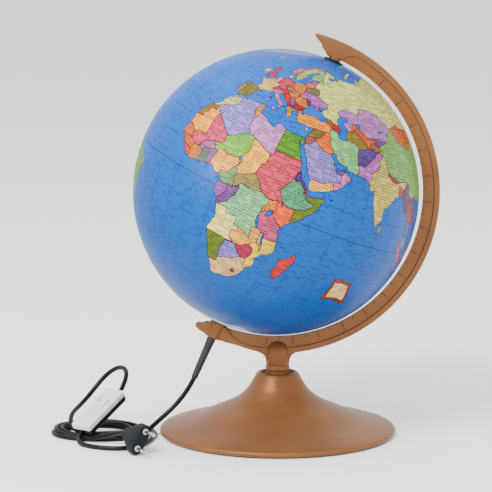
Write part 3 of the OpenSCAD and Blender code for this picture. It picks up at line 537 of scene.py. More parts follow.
    "north_america": "-168 65.7 -162 66.2 -166 68.4 -156.5 71.3 -141 69.7 -128 70 -115 68.3 -108 68 -95 68 -94 72"
    " -85 69.8 -81.5 68.5 -86 66.5 -93.8 61 -94.5 58.8 -88 56.5 -82.3 55 -80 51.5 -78.8 55 -77 57.5 -77.5 62"
    " -70 61.5 -65 58.8 -60.5 55 -57 52 -66 50 -64.5 48 -61 46 -66 43.8 -70 43.5 -70 41.7 -74 40.5 -76 37 -75.6 35.2"
    " -81 31.5 -80 27 -81 25.2 -82.8 28.5 -84.5 30 -90 29.8 -94 29.5 -97.3 27.5 -97.7 22.5 -95 18.5 -91.5 18.6"
    " -90.3 21 -87 21.4 -88.5 16 -83.4 15 -83.6 11 -81 9 -78 9.3 -77.3 8 -79.5 7.4 -83 8.3 -85.8 10.5 -88 13.2"
    " -94 16.2 -97 15.8 -102 18 -105.6 20.4 -106 23 -109.4 26 -112.5 29.8 -114.7 31.7 -112.5 28 -109.6 23.2"
    " -112 25 -114.5 28.5 -117 32.5 -120.6 34.6 -124 40 -124.5 43 -123.8 47 -127.5 51 -131 55 -136 58.5 -140 60"
    " -147 60.8 -152 60 -157 57.5 -164.5 54.8 -158 58.5 -162 59 -165.5 61.5 -161 64.3",
    "baffin": "-62 66.5 -67 69.3 -77 72.8 -88 73.5 -82 70.5 -72 67.8 -77 64.3 -70 62.6 -66 63.2",
    "ellesmere": "-62 82.4 -75 83 -90 82 -88 78 -80 76.3 -78 78.5", "victoria": "-102 69.2 -105 72.6 -118 73"
    " -117 70.5 -113 68.8", "banks": "-124 71.5 -122 74.2 -117 73.3", "newfoundland": "-59.2 47.8 -56 51.5"
    " -53 48.5 -54 46.9", "cuba": "-84.8 22 -81 23.2 -76 21.2 -74.3 20.2 -77.5 19.9 -79 21.4",
    "hispaniola": "-74.2 18.4 -72.5 19.9 -69.5 19.3 -68.5 18.3 -71 17.8", "jamaica": "-78.2 18.4 -76.3 18 -77.5 17.8",
    "south_america": "-77.5 8.5 -75.5 10.7 -71.7 12.3 -68 11.2 -62 10.6 -60 8.5 -57 6 -51.7 4.3 -50 1 -48 -.8"
    " -44.3 -2.7 -40 -2.9 -37 -4.8 -35.3 -5.4 -34.8 -8 -37 -11 -39 -13.5 -39 -17.5 -41 -22 -44.5 -23.1 -48.3 -26"
    " -48.8 -28.7 -52 -32.5 -54.5 -34.8 -58.3 -34.3 -57 -36.8 -62 -39 -65 -41 -63.8 -42.5 -67.5 -46 -65.8 -48"
    " -69 -51 -68.5 -53 -65.5 -55 -70 -55 -74.5 -52 -75.5 -48 -73 -42 -73.5 -37 -71.5 -32 -70.3 -24 -70.3 -18.4"
    " -76 -14.5 -79.5 -8 -81.3 -5 -80 -2.8 -80 .5 -77.5 4",
    "falklands": "-61 -51.7 -58 -51.4 -60 -52.3",
    "antarctica": "-169.9 -78 -158 -77 -145 -75.5 -125 -74 -103 -74.5 -90 -73 -75 -72 -67 -67 -57.5 -63.5 -62 -66"
    " -61 -73 -60 -76 -40 -78 -28 -76 -15 -72.5 0 -70 20 -70 40 -69 55 -66 75 -69.5 90 -66.5 110 -66.3 135 -66"
    " 150 -68.5 170 -71.5 165 -77 180 -78.3 189.9 -78 189.9 -86.9 -169.9 -86.9",
}
LAKES = {
    "black_sea": "29.1 41.3 31.5 41.3 33.5 42 35 42 36.3 41.3 38.5 41 41.5 41.5 41.5 42.6 39 44 37.5 45 36.6 45.4"
    " 35.3 45 33.6 44.5 32.6 45.4 33.5 46.1 31.5 46.6 30.7 46.4 29.7 45 28.6 43.8 27.7 42.6 28.2 41.6",
    "azov": "36.4 45.5 38 46.2 39.2 47.1 37 46.9 35 46.2 35.3 45.6", "marmara": "26.9 40.5 28 40.4 29.2 40.5 28.9 41"
    " 27.6 41", "caspian": "47.5 45.6 49 46.6 51 46.9 53 46.8 53 45.2 51.2 44.5 50.3 44.3 52.5 42.5 52.8 41.2"
    " 53.7 39.2 53.8 37 51.5 36.6 49 37.6 48.9 39 49.8 40.4 47.7 42.8 46.8 44.5",
    "aral": "58.4 45.5 59.5 46.5 61.5 46.5 61 44.7 59 43.8 58.2 44.4", "victoria_lake": "31.8 -.9 32.5 .2 34 .2"
    " 34.1 -1.2 33 -2.5 31.8 -2.4", "tanganyika": "29.2 -3.5 29.7 -4 30.6 -6.8 31.2 -8.6 30.5 -8.3 29.3 -6",
    "malawi_lake": "33.9 -9.6 34.8 -11.5 35 -14.2 34.3 -13.5 34 -11.5", "chad_lake": "13.3 13.8 14.6 14 14.5 12.8"
    " 13.6 12.9", "turkana": "35.9 4.5 36.4 4.3 36.7 2.6 36.2 3", "baikal": "104 51.6 107 52.6 109.8 55.6 108.4 53.7"
    " 106 52", "balkhash": "74 46 76 46.8 79 46.6 77 46.2 75 45.5", "ladoga": "30.8 61.5 32.8 60.7 31.5 60",
    "onega": "34.5 62.5 36 61.5 35 61", "vanern": "12.5 58.8 14 59.2 13.3 58.4", "great_lakes": "-91.5 46.8 -86 48.5"
    " -84 46 -80.2 45.5 -82 43.5 -79 43.2 -76.5 44 -79 42.8 -83 41.7 -84 45.3 -87 41.8 -87.5 45",
}
# Countries are sketched over the land; where two overlap the later one is seen, and gaps are taken up by a neighbour
COUNTRIES = [
    ("russia", "#dfe0a2", "27 70 30 62 27.5 59 28 56 31 54.5 31.5 52.3 35 51 40 49.6 39.7 47.3 38 47 36.8 45 40 43.3"
     " 46 42.3 48.5 41.8 49 46 46.8 48.5 51 51.5 60 50.8 61 54 70 55.3 77 54 83 51 87 49.3 92 50.7 98 52 103 50.5"
     " 115 50 120 53 127 50 131 48 134.7 48.3 131 43 131 42 145 40 195 50 195 84 27 84"),
    ("china", "#a9c98a", "87 49.3 91 45 97 42.8 105 42 111 44 118 46.8 116 49.9 120 53 127 50 131 48 134.7 48.3 131 43"
     " 124 40 124 30 116 20 107 18 106 22 102 21.5 98 24 97.5 28 92 28 86 28 81 30.2 78 33 78 35.5 74 37.5 74 40"
     " 80 42.5 82 45.5"),
    ("mongolia", "#dc9248", "87.8 49.2 92 50.7 98 52 103 50.5 110 49.2 116.5 49.9 119.5 46.8 111.5 44 105 41.7 97 42.7"
     " 91 45.2"),
    ("kazakhstan", "#cda3cd", "46.8 48.5 51 51.5 60 50.8 61 54 70 55.3 77 54 83 51 87 49.3 82 45.5 80 42.5 75 42.7"
     " 70 42 66.5 42 62 43.5 58.5 45.5 56 45.1 56 41.3 52.5 41.8 49 43 48.5 46"),
    ("uzbekistan", "#e08f3d", "56 41.3 56 45.1 58.5 45.5 62 43.5 66.5 42 68 41 71 42.2 73 40.8 70 40.3 68 38.5 67.8 37.2"
     " 66.5 37.4 64 39 60.5 41.5 58 42.7"),
    ("turkmenistan", "#bba45a", "52.5 41.8 56 41.3 58 42.7 60.5 41.5 64 39 66.5 37.4 64.5 36.3 61.2 35.5 59 37.6"
     " 54 37.3 52 39"),
    ("kyrgyz", "#a07bb0", "70.5 42.3 75 42.8 80 42.4 76 40.3 73.5 39.4 70 39.8 72.5 41"),
    ("tajik", "#cc9757", "67.8 37.2 68 39.5 70 40.3 73.5 39.4 75 38.4 74.5 37.3 71 36.8"),
    ("saudi", "#b2a6d2", "34.9 29.4 37.5 31.5 39 32 44.5 29.2 47.5 29 48.5 28.5 50.5 26 51.5 24.3 52.6 22.9 55 22.6"
     " 55.5 20 52 19 47 17 43.3 17 42.6 16.6 38 19 34 28"),
    ("oman", "#dc9ec0", "52 19 55.5 20 55 22.6 56 24.5 56.4 26.6 61 23 58 17 53 16.4"),
    ("emirates", "#8f7fb6", "51.5 24.3 52.6 22.9 55 22.6 56 24.5 56.2 26.5 54 25 51.6 25"),
    ("yemen", "#ecc98b", "42.6 16.6 43.3 17.4 47 17 52 19 53 16.4 52 14 44 12 42 13.5"),
    ("iraq", "#e99a3a", "39 32.2 41.2 34.6 42.4 37.2 44.8 37.2 46 35.5 45.6 34 47.8 31.2 48.7 29.9 47.5 29 44.5 29.2"
     " 39.2 32"),
    ("jordan", "#b98880", "34.9 29.4 37.5 30 39.2 32 38.8 33.3 35.7 32.7 34.2 31.4"),
    ("syria", "#a69a5e", "35.7 32.7 38.8 33.3 41.2 34.6 42.4 37.2 38 36.9 36.4 36.7 35.7 35.8 35.7 34.6 35 33"),
    ("turkey", "#e6b45a", "25.6 40.2 26.4 41.8 28.2 41.8 31 41.8 35 42.5 41.6 41.5 43.6 41 44.8 39.7 44.4 38 44.8 37.2"
     " 42.4 37.2 38 36.9 36.4 36.7 35.7 35.8 33 35.8 28 36 26 38"),
    ("iran", "#a9d3a0", "44.8 39.7 48 39.6 49 38.4 54 37 54 37.3 59 37.6 61.2 35.5 60.8 33.5 61 31 61.8 29 63.2 27"
     " 61.6 25 57 25 54 26.2 50 29 48.7 29.9 47.8 31.2 45.6 34 46 35.5 44.4 38"),
    ("afghan", "#8c78ae", "61.2 35.5 64.5 36.3 66.5 37.4 67.8 37.2 71 38 71 36.8 74.7 37.2 71.5 35.5 70 33.5 68 31.7"
     " 66 29.6 61.8 29.5 60.8 31.5 60.8 33.5"),
    ("pakistan", "#cf9ac9", "61.8 29.3 66 29.6 68 31.7 70 33.5 71.5 35.5 74.7 37.2 76.5 35.7 74.5 34 74.6 31.5 72.5 29"
     " 70 28 70.5 25.7 68.8 24.2 67 23.5 61.6 24.5 63.2 27"),
    ("india", "#d9cf8a", "74.5 34 76.5 35.7 78.5 35.3 78.8 32 81 30.2 84 27.4 88 26.5 89 27.4 92 27.8 97 28.2 95 26"
     " 93 22.5 92 24.5 89 26 88.8 22 90 10 76 5 70 18 68 23 68.8 24.2 70.5 25.7 70 28 72.5 29 74.6 31.5"),
    ("ceylon", "#b9b66c", "79 10 82 10 82.5 5.5 79.3 5.5"),
    ("nepal", "#c4585c", "80.3 30 84 29 88 28 88 26.5 84 27.2 80.3 28.7"),
    ("bangla", "#dd8a3c", "88.3 26 89.6 26.2 92.3 25 92.3 20.8 90 21 88.8 22"),
    ("burma", "#9a6796", "92.3 24 95 26.5 97 28.2 98.7 27.5 98 24 101 21.5 98 19.5 98.6 16 99.3 10 96 14 93 17 92.2 21"),
    ("thai", "#b9805a", "98 19.5 100.5 20.3 102 18 105 17.5 105.5 14.5 102.5 13.5 101 6 98 6 99.3 10 98.6 16"),
    ("indochina", "#9c7fae", "100.5 20.3 102.5 22.5 106 22.5 108.3 21.5 110 12 104 8 102.5 13.5 105.5 14.5 105 17.5"
     " 102 18"),
    ("malaya", "#d8b56a", "100 7 102 6.3 105 3 104 1 99 5"),
    ("indonesia", "#d98aa0", "94 7 99 3.8 104 .8 108 3 109.6 2 113 1.5 118 4.3 127 3 133 0 141 -2.4 141 -9.4 128 -9.6"
     " 120 -11 104 -9 94 3"),
    ("papua", "#e2a65a", "141 -2 152 -2 152 -12 141 -9.5"), ("philippines", "#b3c26e", "117 5 119 12 119 19 123 20"
     " 128 10 127 4 122 5.5"),
    ("japan", "#e08e92", "128 30 130 35 135 37 139 46 146 45 143 36 135 32"), ("korea", "#dcb85e", "124 39.8 128 42"
     " 130.5 42.5 131 37 129.5 34.5 125.5 34"),
    ("caucasus", "#c88a50", "41.5 41.5 40 43.4 43.5 43 46.5 41.9 48.8 41.8 50.5 40.4 49 38.4 48 39.6 44.8 39.7 43.6 41"),
    ("azerbaijan", "#c8505a", "45 41.2 46.5 41.9 48.8 41.8 50.6 40.4 49 38.4 47.2 39.3 46 40"),
    ("ukraine", "#c391bf", "22.2 48.5 23.7 50.5 24 52 27 51.6 31.5 52.3 35 51.3 40 49.6 39.7 47.3 38 46.8 36.8 44.8"
     " 33 43.8 30 45.2 29 46.3 30 46.4 27.7 48.4 24.8 47.8"),
    ("moldova", "#8f74a8", "26.7 48.3 29 48 30 46.4 28.3 45.5"),
    ("belarus", "#a2a178", "23.5 54 27 56 31 55.8 32.7 53.4 31.5 52.1 27 51.6 23.6 51.7"),
    ("baltics", "#d98b8a", "20.5 55 21 58 23 59.7 28 59.5 28 56 26.8 54.8 23 54.2"),
    ("finland", "#b9c7a0", "20.5 69 25.5 68.9 28 70 30 67.7 30 64 31.5 62.7 28 60.2 23 59.3 20.8 61 21 63 24.2 65.8"),
    ("sweden", "#c9d08e", "12 55 11.2 58.9 12 61.3 12 63.6 14 65.3 16 68 20.5 69 24.2 65.8 21 63 19 59 16.5 56 14 55"),
    ("norway", "#d596a8", "4.5 58 4.5 62 10 65 14 69 25 72 32 71 31 69.7 28 69 28 70 25.5 68.9 20.5 69 16 68 14 65.3"
     " 12 63.6 12 61.3 11.2 58.9"),
    ("denmark", "#e9dcae", "8 54.9 9.4 54.9 10 54.7 13 54.9 13 56.3 10.7 58 8 57.5"),
    ("poland", "#e3a848", "14.2 54.3 19 55 23 54.4 23.8 53 23.6 51.7 24 50.7 22.6 49.2 18.8 49.5 15 51 14.7 52.6"),
    ("germany", "#d07484", "6 51.8 7 53.8 8.3 55 10 54.9 14.3 54.2 14.7 52.6 15 51 12.2 50.3 13.8 48.7 13 47.5"
     " 7.6 47.6 8.2 49 6.2 49.5"),
    ("benelux", "#e6c27e", "2.5 51.2 4.5 53.3 7 53.6 6 51.8 6.4 49.5 4.2 49.9"),
    ("france", "#dfca9c", "-5 48 1.6 51.1 4.2 49.9 6.2 49.5 8.2 49 7.6 47.6 6 46.2 7 45.9 7.5 43.8 9.8 43.2 9.6 41.2"
     " 8.3 41.4 5 42.7 3.2 42.4 0 42.7 -1.8 43.4 -2 46"),
    ("spain", "#a39b52", "-9.5 43 -9 44 -1.8 43.4 0 42.7 3.3 42.5 4.5 39.5 0 37 -2 36.4 -5.3 35.9 -7.4 37 -7 41.7"
     " -9 41.9"),
    ("portugal", "#c9a35a", "-9.8 38.5 -9 41.9 -6.5 41.9 -7 39.5 -7.4 37 -9.2 36.8"),
    ("italy", "#d49fc0", "7 45.9 10.5 46.8 13.7 46.5 13.6 45.4 12.8 44.2 19 40.3 16 36 12 37 7.8 38.7 8 41.2 9.7 41.3"
     " 9.9 43.2 7.5 43.8"),
    ("alps", "#c9796a", "6 46.2 7.6 47.6 13 47.5 14 48.7 17 48.7 16.5 46.9 13.7 46.5 10.5 46.8 7 45.9"),
    ("czech", "#c6a07f", "12.2 50.3 15 51 18.8 49.7 22.6 49.2 22.2 48.4 18 47.8 17 48.7 13.8 48.7"),
    ("hungary", "#e3a65a", "16.2 46.9 17 48 18 47.8 22.2 48.4 21 46.2 18.8 45.8"),
    ("balkans", "#cf6a52", "13.6 45.5 16.5 46.6 18.8 45.8 21.3 45 22.5 44.4 22.4 42.2 19.5 41.7 15 43.5"),
    ("serbia", "#b583b0", "18.9 45.8 20.5 46.2 22.5 44.6 22.7 42.4 20.6 41.9 19.2 43.4"),
    ("romania", "#dba04e", "20.3 46.2 22.8 48 26.7 48.3 28.3 45.5 29.8 45.3 28.6 43.7 25.5 43.7 22.7 44.2"),
    ("bulgaria", "#b85a68", "22.4 44.2 25.5 43.7 28.7 43.8 28 42 26.4 41.8 23 41.3 22.4 42.2"),
    ("greece", "#cbb06a", "20 39.8 21 41 23 41.3 26.4 41.7 26.3 40.2 25 38 27 35 23.5 34.5 21 36.5"),
    ("britain", "#c9637c", "-6.5 50 -6.5 59 -1 60 2 53 1.5 50.8"), ("ireland", "#d9c3a0", "-10.5 51 -10.5 55.5"
     " -5.8 55.5 -5.8 51.8"), ("iceland", "#8fb4c4", "-25 63 -25 67 -13 67 -13 63"),
    ("svalbard", "#c3aab8", "9 76 9 81 30 81 30 76"), ("madagascar", "#cf6a62", "42 -27 42 -11.8 52 -11.8 52 -27"),
    ("algeria", "#b3abd8", "-8.7 27.3 -8.7 28.8 -5 30 -1.3 32.2 -1.9 35.2 3 37.3 8.6 37.3 7.6 33.5 9.3 30.3 9.5 26.5"
     " 11.8 23.5 4.5 19.2 1.2 21.1 -4.8 25"),
    ("morocco", "#cfcf9e", "-13.2 27.7 -8.7 27.7 -8.7 28.8 -5 30 -1.3 32.2 -1.9 35.5 -6 36.2 -11 32"),
    ("western_sahara", "#b39b4e", "-17.2 20.8 -13 21.4 -13 23 -12 23.5 -12 26 -8.7 26 -8.7 27.7 -13.4 27.8 -17 25"),
    ("mauritania", "#efc35a", "-17.5 16 -16.9 20.9 -13 21.4 -13 23 -12 23.5 -12 26 -8.7 26 -8.7 27.3 -4.8 25 -6.5 25"
     " -5.4 15.5 -9.5 15.4 -12 14.8 -14.5 16.6"),
    ("mali", "#d87f92", "-6.5 25 -4.8 25 1.2 21.1 3.3 19 4.2 16.8 3.5 15.4 .2 14.9 -3 13.6 -5.3 11.8 -5.5 10.4 -8 10.4"
     " -11.3 12.1 -12 14.8 -9.5 15.4 -5.4 15.5"),
    ("tunisia", "#deb26c", "8.6 37.5 11.5 37.5 11.5 33.2 9.6 30.2 7.6 33.5"),
    ("libya", "#d3abcd", "9.6 30.2 11.5 33.3 20 34 25 32.2 25 20 24 19.5 15 23 12 23.5 9.5 26.5"),
    ("egypt", "#8bb24c", "25 22 25 32.2 34.3 31.5 35 29.5 34.5 27 37.5 22"),
    ("sudan", "#d97d8a", "24 19.5 25 20 25 22 37.5 22 38.8 18.2 36.9 17 36 13 34 9.5 34.5 7 35.8 4.7 33.5 3.8 30.8 3.6"
     " 28 4.5 24 8.7 22 11 22.5 14.5"),
    ("chad", "#f3c968", "15 23 24 19.5 24 15.5 22.3 14.5 22 11 19 9 15.5 7.5 14 10 15 12.5 13.5 14 15.5 17"),
    ("niger", "#a8cf6c", "4.2 16.8 3.3 19 4.5 19.2 11.8 23.5 15 23 15.5 17 13.5 14 13.3 13.5 8 12.9 4 13.6 3.5 11.8"
     " .8 13.3 .2 14.9 3.5 15.4"),
    ("senegal", "#e0a15e", "-17.8 14.7 -16.5 16.4 -14.5 16.6 -12 14.8 -11.3 12.3 -17 12.3"),
    ("guinea", "#dd9445", "-17 12.3 -11.3 12.3 -8 10.4 -8 8 -9 7.3 -13.5 9"),
    ("liberia", "#e2873c", "-13.5 9.3 -11 8.5 -8.5 7.5 -7.5 4 -12 6"),
    ("ivory", "#d8a356", "-8.5 7.5 -8 10.4 -5.5 10.4 -2.8 9.7 -2.8 4.8 -7.5 4"),
    ("burkina", "#c189b4", "-5.5 10.4 -5.3 11.8 -3 13.6 .2 14.9 2.2 12.4 .9 11 -2.8 11 -2.8 9.7"),
    ("ghana", "#8da08a", "-2.8 11 0 11.1 1.2 6 -2 4.5 -3 5"),
    ("togo", "#b384ab", "0 11.1 2.2 12.4 3.7 11.7 2.7 6.2 1 5.8"),
    ("nigeria", "#efc24e", "2.7 6.2 3.7 11.7 4 13.6 8 12.9 13.3 13.5 14.4 11.5 11.5 7 8.8 5.8 8.5 4.3 5 4 4 6.2"),
    ("cameroon", "#9cb884", "8.6 4.5 8.8 5.8 11.5 7 14.4 11.5 14.2 13 15 12.5 14 10 15.3 7.4 14.5 5 16 2.2 9.6 2.2"),
    ("central", "#b3a97a", "15.3 7.4 19 9 22 11 24 8.7 27.5 5 23 4.6 18.5 4.8 16.2 2.2 14.5 5"),
    ("gabon", "#b684c0", "9.6 2.2 13.2 2.2 14.3 -.5 12 -3.5 11 -4 8.5 -1"),
    ("congo", "#9e74ad", "13.2 2.2 16.2 2.2 18.5 3.5 17.8 -.5 16 -3.5 14.5 -4.9 11.5 -4.5 12 -3.5 14.3 -.5"),
    ("zaire", "#a5cfa6", "18.5 4.8 23 4.6 27.5 5 30.8 3.6 31.2 2 29.7 0 29.3 -4 30.7 -8.4 28.5 -9 29.8 -13.3 27 -12"
     " 24 -11 22 -11 21.8 -7.5 17.5 -8.1 16.8 -6 12 -6 14.5 -4.9 16 -3.5 17.8 -.5"),
    ("uganda", "#e6ab43", "29.7 -1 29.7 0 31.2 2 30.8 3.6 34 4.2 34.8 1.2 34 -1"),
    ("kenya", "#ee8f4e", "34 4.2 36 4.6 39 3.5 42 4 41 -1 41.5 -1.8 39.2 -4.9 34 -1 34.8 1.2"),
    ("tanzania", "#cb7f9c", "30 -2.5 31 -1 34 -1 39.2 -4.7 41 -10.7 35 -11.6 34 -9.5 30.7 -8.3 29.3 -4.5"),
    ("ethiopia", "#86bb99", "36 13 37 17.5 39 18.5 43.5 12.6 42.5 11 44 9 48 8 45 5 42 4 39 3.5 36 4.6 34.5 7 33.3 8.5"
     " 34.5 11"),
    ("eritrea", "#8a62a0", "36.9 17 38.7 18.4 43.3 12.6 42 12.5 39 14.6 37 14.3"),
    ("djibouti", "#c06852", "41.8 11 42.5 12.6 43.4 12.5 43.3 11.2"),
    ("somalia", "#9aa548", "42.8 11 44 9 48 8 45 5 42 4 41 -1 41.7 -1.9 47 0 52 10 52 12.5 44 11.5"),
    ("angola", "#e6dca8", "12 -6 16.8 -6 17.5 -8.1 21.8 -7.5 22 -11 24 -11 24 -13 22 -13 22 -16.3 23.3 -17.7 13 -17.2"
     " 11.3 -17.3"),
    ("zambia", "#e2bf73", "22 -13 24 -13 24 -11 27 -12 29.8 -13.3 28.5 -9 30.7 -8.3 33 -9.5 33.3 -13.5 30.3 -15.6"
     " 27 -17.9 25.2 -17.8 22 -16.3"),
    ("malawi", "#c9bb92", "33 -9.5 34.6 -9.8 35.7 -14.5 35.2 -17.1 34.3 -15 33 -13.8"),
    ("mozambique", "#e3d06c", "34.6 -11.5 41.5 -10.4 41.5 -16 36 -21 36 -25 33 -27 31.9 -26.5 31.4 -22.3 33 -20 32.8 -16.6"
     " 30.3 -15.7 33.3 -14 34.3 -14.6 35.2 -17.1 35.8 -15"),
    ("zimbabwe", "#c1607c", "25.3 -17.9 27 -17.9 30.3 -15.7 32.8 -16.6 33 -20 31.4 -22.3 29 -22.2 26.5 -20"),
    ("botswana", "#a3a0cd", "20 -21.9 21 -18.3 25.2 -17.8 26.5 -20 29.2 -22.2 26 -24.7 22.7 -25.4 20 -26.8"),
    ("namibia", "#8f9c42", "11.3 -17.3 13.5 -17.2 23.3 -17.7 25.2 -17.7 21 -18.3 20 -21.9 20 -28.4 16.4 -29 14 -26"),
    ("south_africa", "#d8c29c", "16.2 -28.6 20 -28.4 20 -26.8 22.7 -25.4 26 -24.7 29.2 -22.2 31.4 -22.3 31.9 -26.5"
     " 33.2 -27 31 -35 17 -36"),
    ("lesotho", "#a8605e", "27 -29.6 28.6 -28.6 29.4 -29.5 28 -30.6"),
    ("greenland", "#a9b9d8", "-75 59 -75 84 -10 84 -10 59"),
    ("canada", "#e0a0a4", "-141 70 -141 60 -130 55 -123 49 -95 49 -83 46 -75 45 -67 47 -67 44 -50 44 -60 84 -141 84"),
    ("usa", "#e4cf8c", "-169.9 50 -169.9 72 -141 72 -141 60 -130 54.7 -130 49 -123 49 -95 49 -83 46 -83 42 -75 45"
     " -67 47.4 -65 43 -78 24 -88 28 -97 25.8 -106.5 31.8 -117 32.5 -130 32 -150 50"),
    ("mexico", "#a8c07a", "-117 32.5 -106.5 31.8 -97 25.8 -95 22 -86 22 -88.3 17.8 -92 14.3 -115 15"),
    ("central_america", "#cc8fb8", "-92 14.3 -88.3 17.8 -82 16 -77.3 8.8 -78 7 -88 11"),
    ("antilles", "#dfa15c", "-86 17 -86 24 -66 24 -66 17"),
    ("brazil", "#8fb27a", "-73.8 -7.3 -69.5 -11 -65.3 -10 -60 -14 -58 -20 -54.3 -24 -54 -27 -57.6 -30.2 -53.5 -34"
     " -45 -34 -33 -10 -33 0 -50 6 -52 2 -60 5 -64 2 -69.5 1 -70 -4"),
    ("argentina", "#a8a0cf", "-70 -20 -66 -22 -62.5 -22 -57.6 -27.3 -54 -26 -57.6 -30.2 -58.4 -34 -56 -38 -63 -56"
     " -68.6 -54 -72.5 -50 -70 -34"),
    ("chile", "#e2b45e", "-72 -18 -69 -18 -67.5 -24 -70 -34 -72.3 -50 -68.6 -52.5 -66 -57 -78 -55 -75 -30"),
    ("uruguay", "#d58aa0", "-58.5 -34.3 -57.6 -30.2 -53.2 -33.8 -54.5 -35.5"),
    ("peru", "#cf8a5e", "-82 -3.5 -75 -.5 -70 -4 -73.8 -7.3 -69.5 -11 -69.5 -18 -72 -19 -83 -7"),
    ("bolivia", "#c6a3cc", "-69.5 -11 -65.3 -10 -60 -14 -58 -20 -62.5 -22 -68 -23 -69.5 -18"),
    ("paraguay", "#e2cf8a", "-62.5 -20 -58 -20 -54.3 -24 -56 -27.4 -62.5 -22"),
    ("colombia", "#e3c05a", "-80 2 -77.5 8.5 -71.5 12.6 -70 7 -67.5 6 -69.5 1 -70 -4 -75 -.3"),
    ("venezuela", "#d58a93", "-71.5 12.6 -60 11 -60 5 -64 2 -67.5 2 -67.5 6 -70 7"),
    ("guianas", "#c48fc0", "-60 8.6 -50 6 -52 2 -60 5"),
    ("ecuador", "#a8bd72", "-81.5 -3.5 -80.5 1.5 -75 -.4"),
    ("australia", "#e2c884", "110 -9.9 155 -9.9 155 -45 110 -45"), ("new_zealand", "#b5c07a", "165 -34 179.5 -34"
     " 179.5 -48 165 -48"), ("antarctica", "#d8dde2", "-170 -60 190 -60 190 -87.2 -170 -87.2"),
]
# A plain panel for the printed title, with a rolled border: drawn over the sea, and left without words
TITLE_BORDER = "71 -16.8 75.6 -16.2 80.6 -16.6 81.4 -18 83.2 -21.6 85.6 -26 84.4 -27 78 -26 72.6 -27 71.4 -26.4 71.4 -22"
TITLE_PANEL = "72.2 -18 75.8 -17.4 79.8 -17.8 82 -22 83.8 -25.4 78 -24.8 73.2 -25.6 72.4 -22"
SEA_BLUE, COAST_INK, BORDER_INK = "#4796cf", "#2f5280", "#7a3c3c"
BORDER_COLOUR, PANEL_COLOUR = "#b8743c", "#e6d3ac"
INK_PASSES = 2
LON_FROM, LON_TO, LAT_FROM, LAT_TO = -170.0, 190.0, -87.1, 87.7
GRID_STEP = 3.0
LON_FACING = 35.35


def linear(hex_colour, passes=1):
    """An sRGB hex colour as linear light; more passes of a clear ink lay it on deeper."""
    parts = [int(hex_colour[i:i + 2], 16) / 255 for i in (1, 3, 5)]
    return tuple((c / 12.92 if c <= 0.04045 else ((c + 0.055) / 1.055) ** 2.4) ** passes for c in parts)


def sketched(text, wiggle=0.35):
    """An outline from its text, stepped finely, wandering a little as a hand-drawn line does, anticlockwise."""
    values = [float(v) for v in text.split()]
    corners = [Vector(p) for p in zip(values[::2], values[1::2])]
    line = []
    for a, b in zip(corners, corners[1:] + corners[:1]):
        count = max(1, math.ceil((b - a).length / 1.5))
        for i in range(count):
            p = a.lerp(b, i / count)
            wander = noise.noise_vector(Vector((p.x * 0.8, p.y * 0.8, 3.7))) * wiggle
            p = p + Vector((wander.x, wander.y))
            line.append(Vector((min(max(p.x, LON_FROM + 0.01), LON_TO - 0.01),
                                min(max(p.y, LAT_FROM + 0.01), LAT_TO - 0.01))))
    area = sum(a.x * b.y - b.x * a.y for a, b in zip(line, line[1:] + line[:1]))
    return line if area > 0 else line[::-1]


def grid_points():
    columns, rows = round((LON_TO - LON_FROM) / GRID_STEP), round((LAT_TO - LAT_FROM) / GRID_STEP)
    points, edges = [], []
    for j in range(rows + 1):
        for i in range(columns + 1):
            points.append(Vector((LON_FROM + (LON_TO - LON_FROM) * i / columns,
                                  LAT_FROM + (LAT_TO - LAT_FROM) * j / rows)))
    equator = len(points)
    points += [Vector((LON_FROM + (LON_TO - LON_FROM) * i / columns, 0)) for i in range(columns + 1)]
    edges = [(equator + i, equator + i + 1) for i in range(columns)]
    side = [j * (columns + 1) for j in range(rows + 1)]
    edges += list(zip(side, side[1:])) + [(a + columns, b + columns) for a, b in zip(side, side[1:])]
    edges += [(i, i + 1) for i in range(columns)]
    edges += [(side[-1] + i, side[-1] + i + 1) for i in range(columns)]
    return points, edges


def divide(outlines):
    """Cuts the flat map along closed outlines: points, triangles, and the outlines that each triangle is in."""
    points, edges = grid_points()
    faces = []
    for line in outlines:
        faces.append(list(range(len(points), len(points) + len(line))))
        points += line
    made = delaunay_2d_cdt(points, edges, faces, 0, 1e-4)
    return made[0], made[2], made[5]


def cut_along(quads):
    """Cuts the flat map along the ribbons' sides: points, triangles, and the ribbon that each triangle is in."""
    points, edges = grid_points()
    first = len(points)
    for quad in quads:
        edges += [(len(points) + i, len(points) + (i + 1) % 4) for i in range(4)]
        points += quad
    made = delaunay_2d_cdt(points, edges, [], 0, 1e-4)
    flat, triangles = made[0], made[2]
    tree = BVHTree.FromPolygons([(p.x, p.y, 0) for p in points[first:]],
                                [tuple(range(4 * k, 4 * k + 4)) for k in range(len(quads))])
    under = []
    for corners in triangles:
        middle = sum((flat[c] for c in corners), Vector((0, 0))) / 3
        hit = tree.find_nearest(Vector((middle.x, middle.y, 0)), 0.5)
        under.append(hit[2] if hit[2] is not None and hit[3] < 1e-5 else None)
    return flat, triangles, under


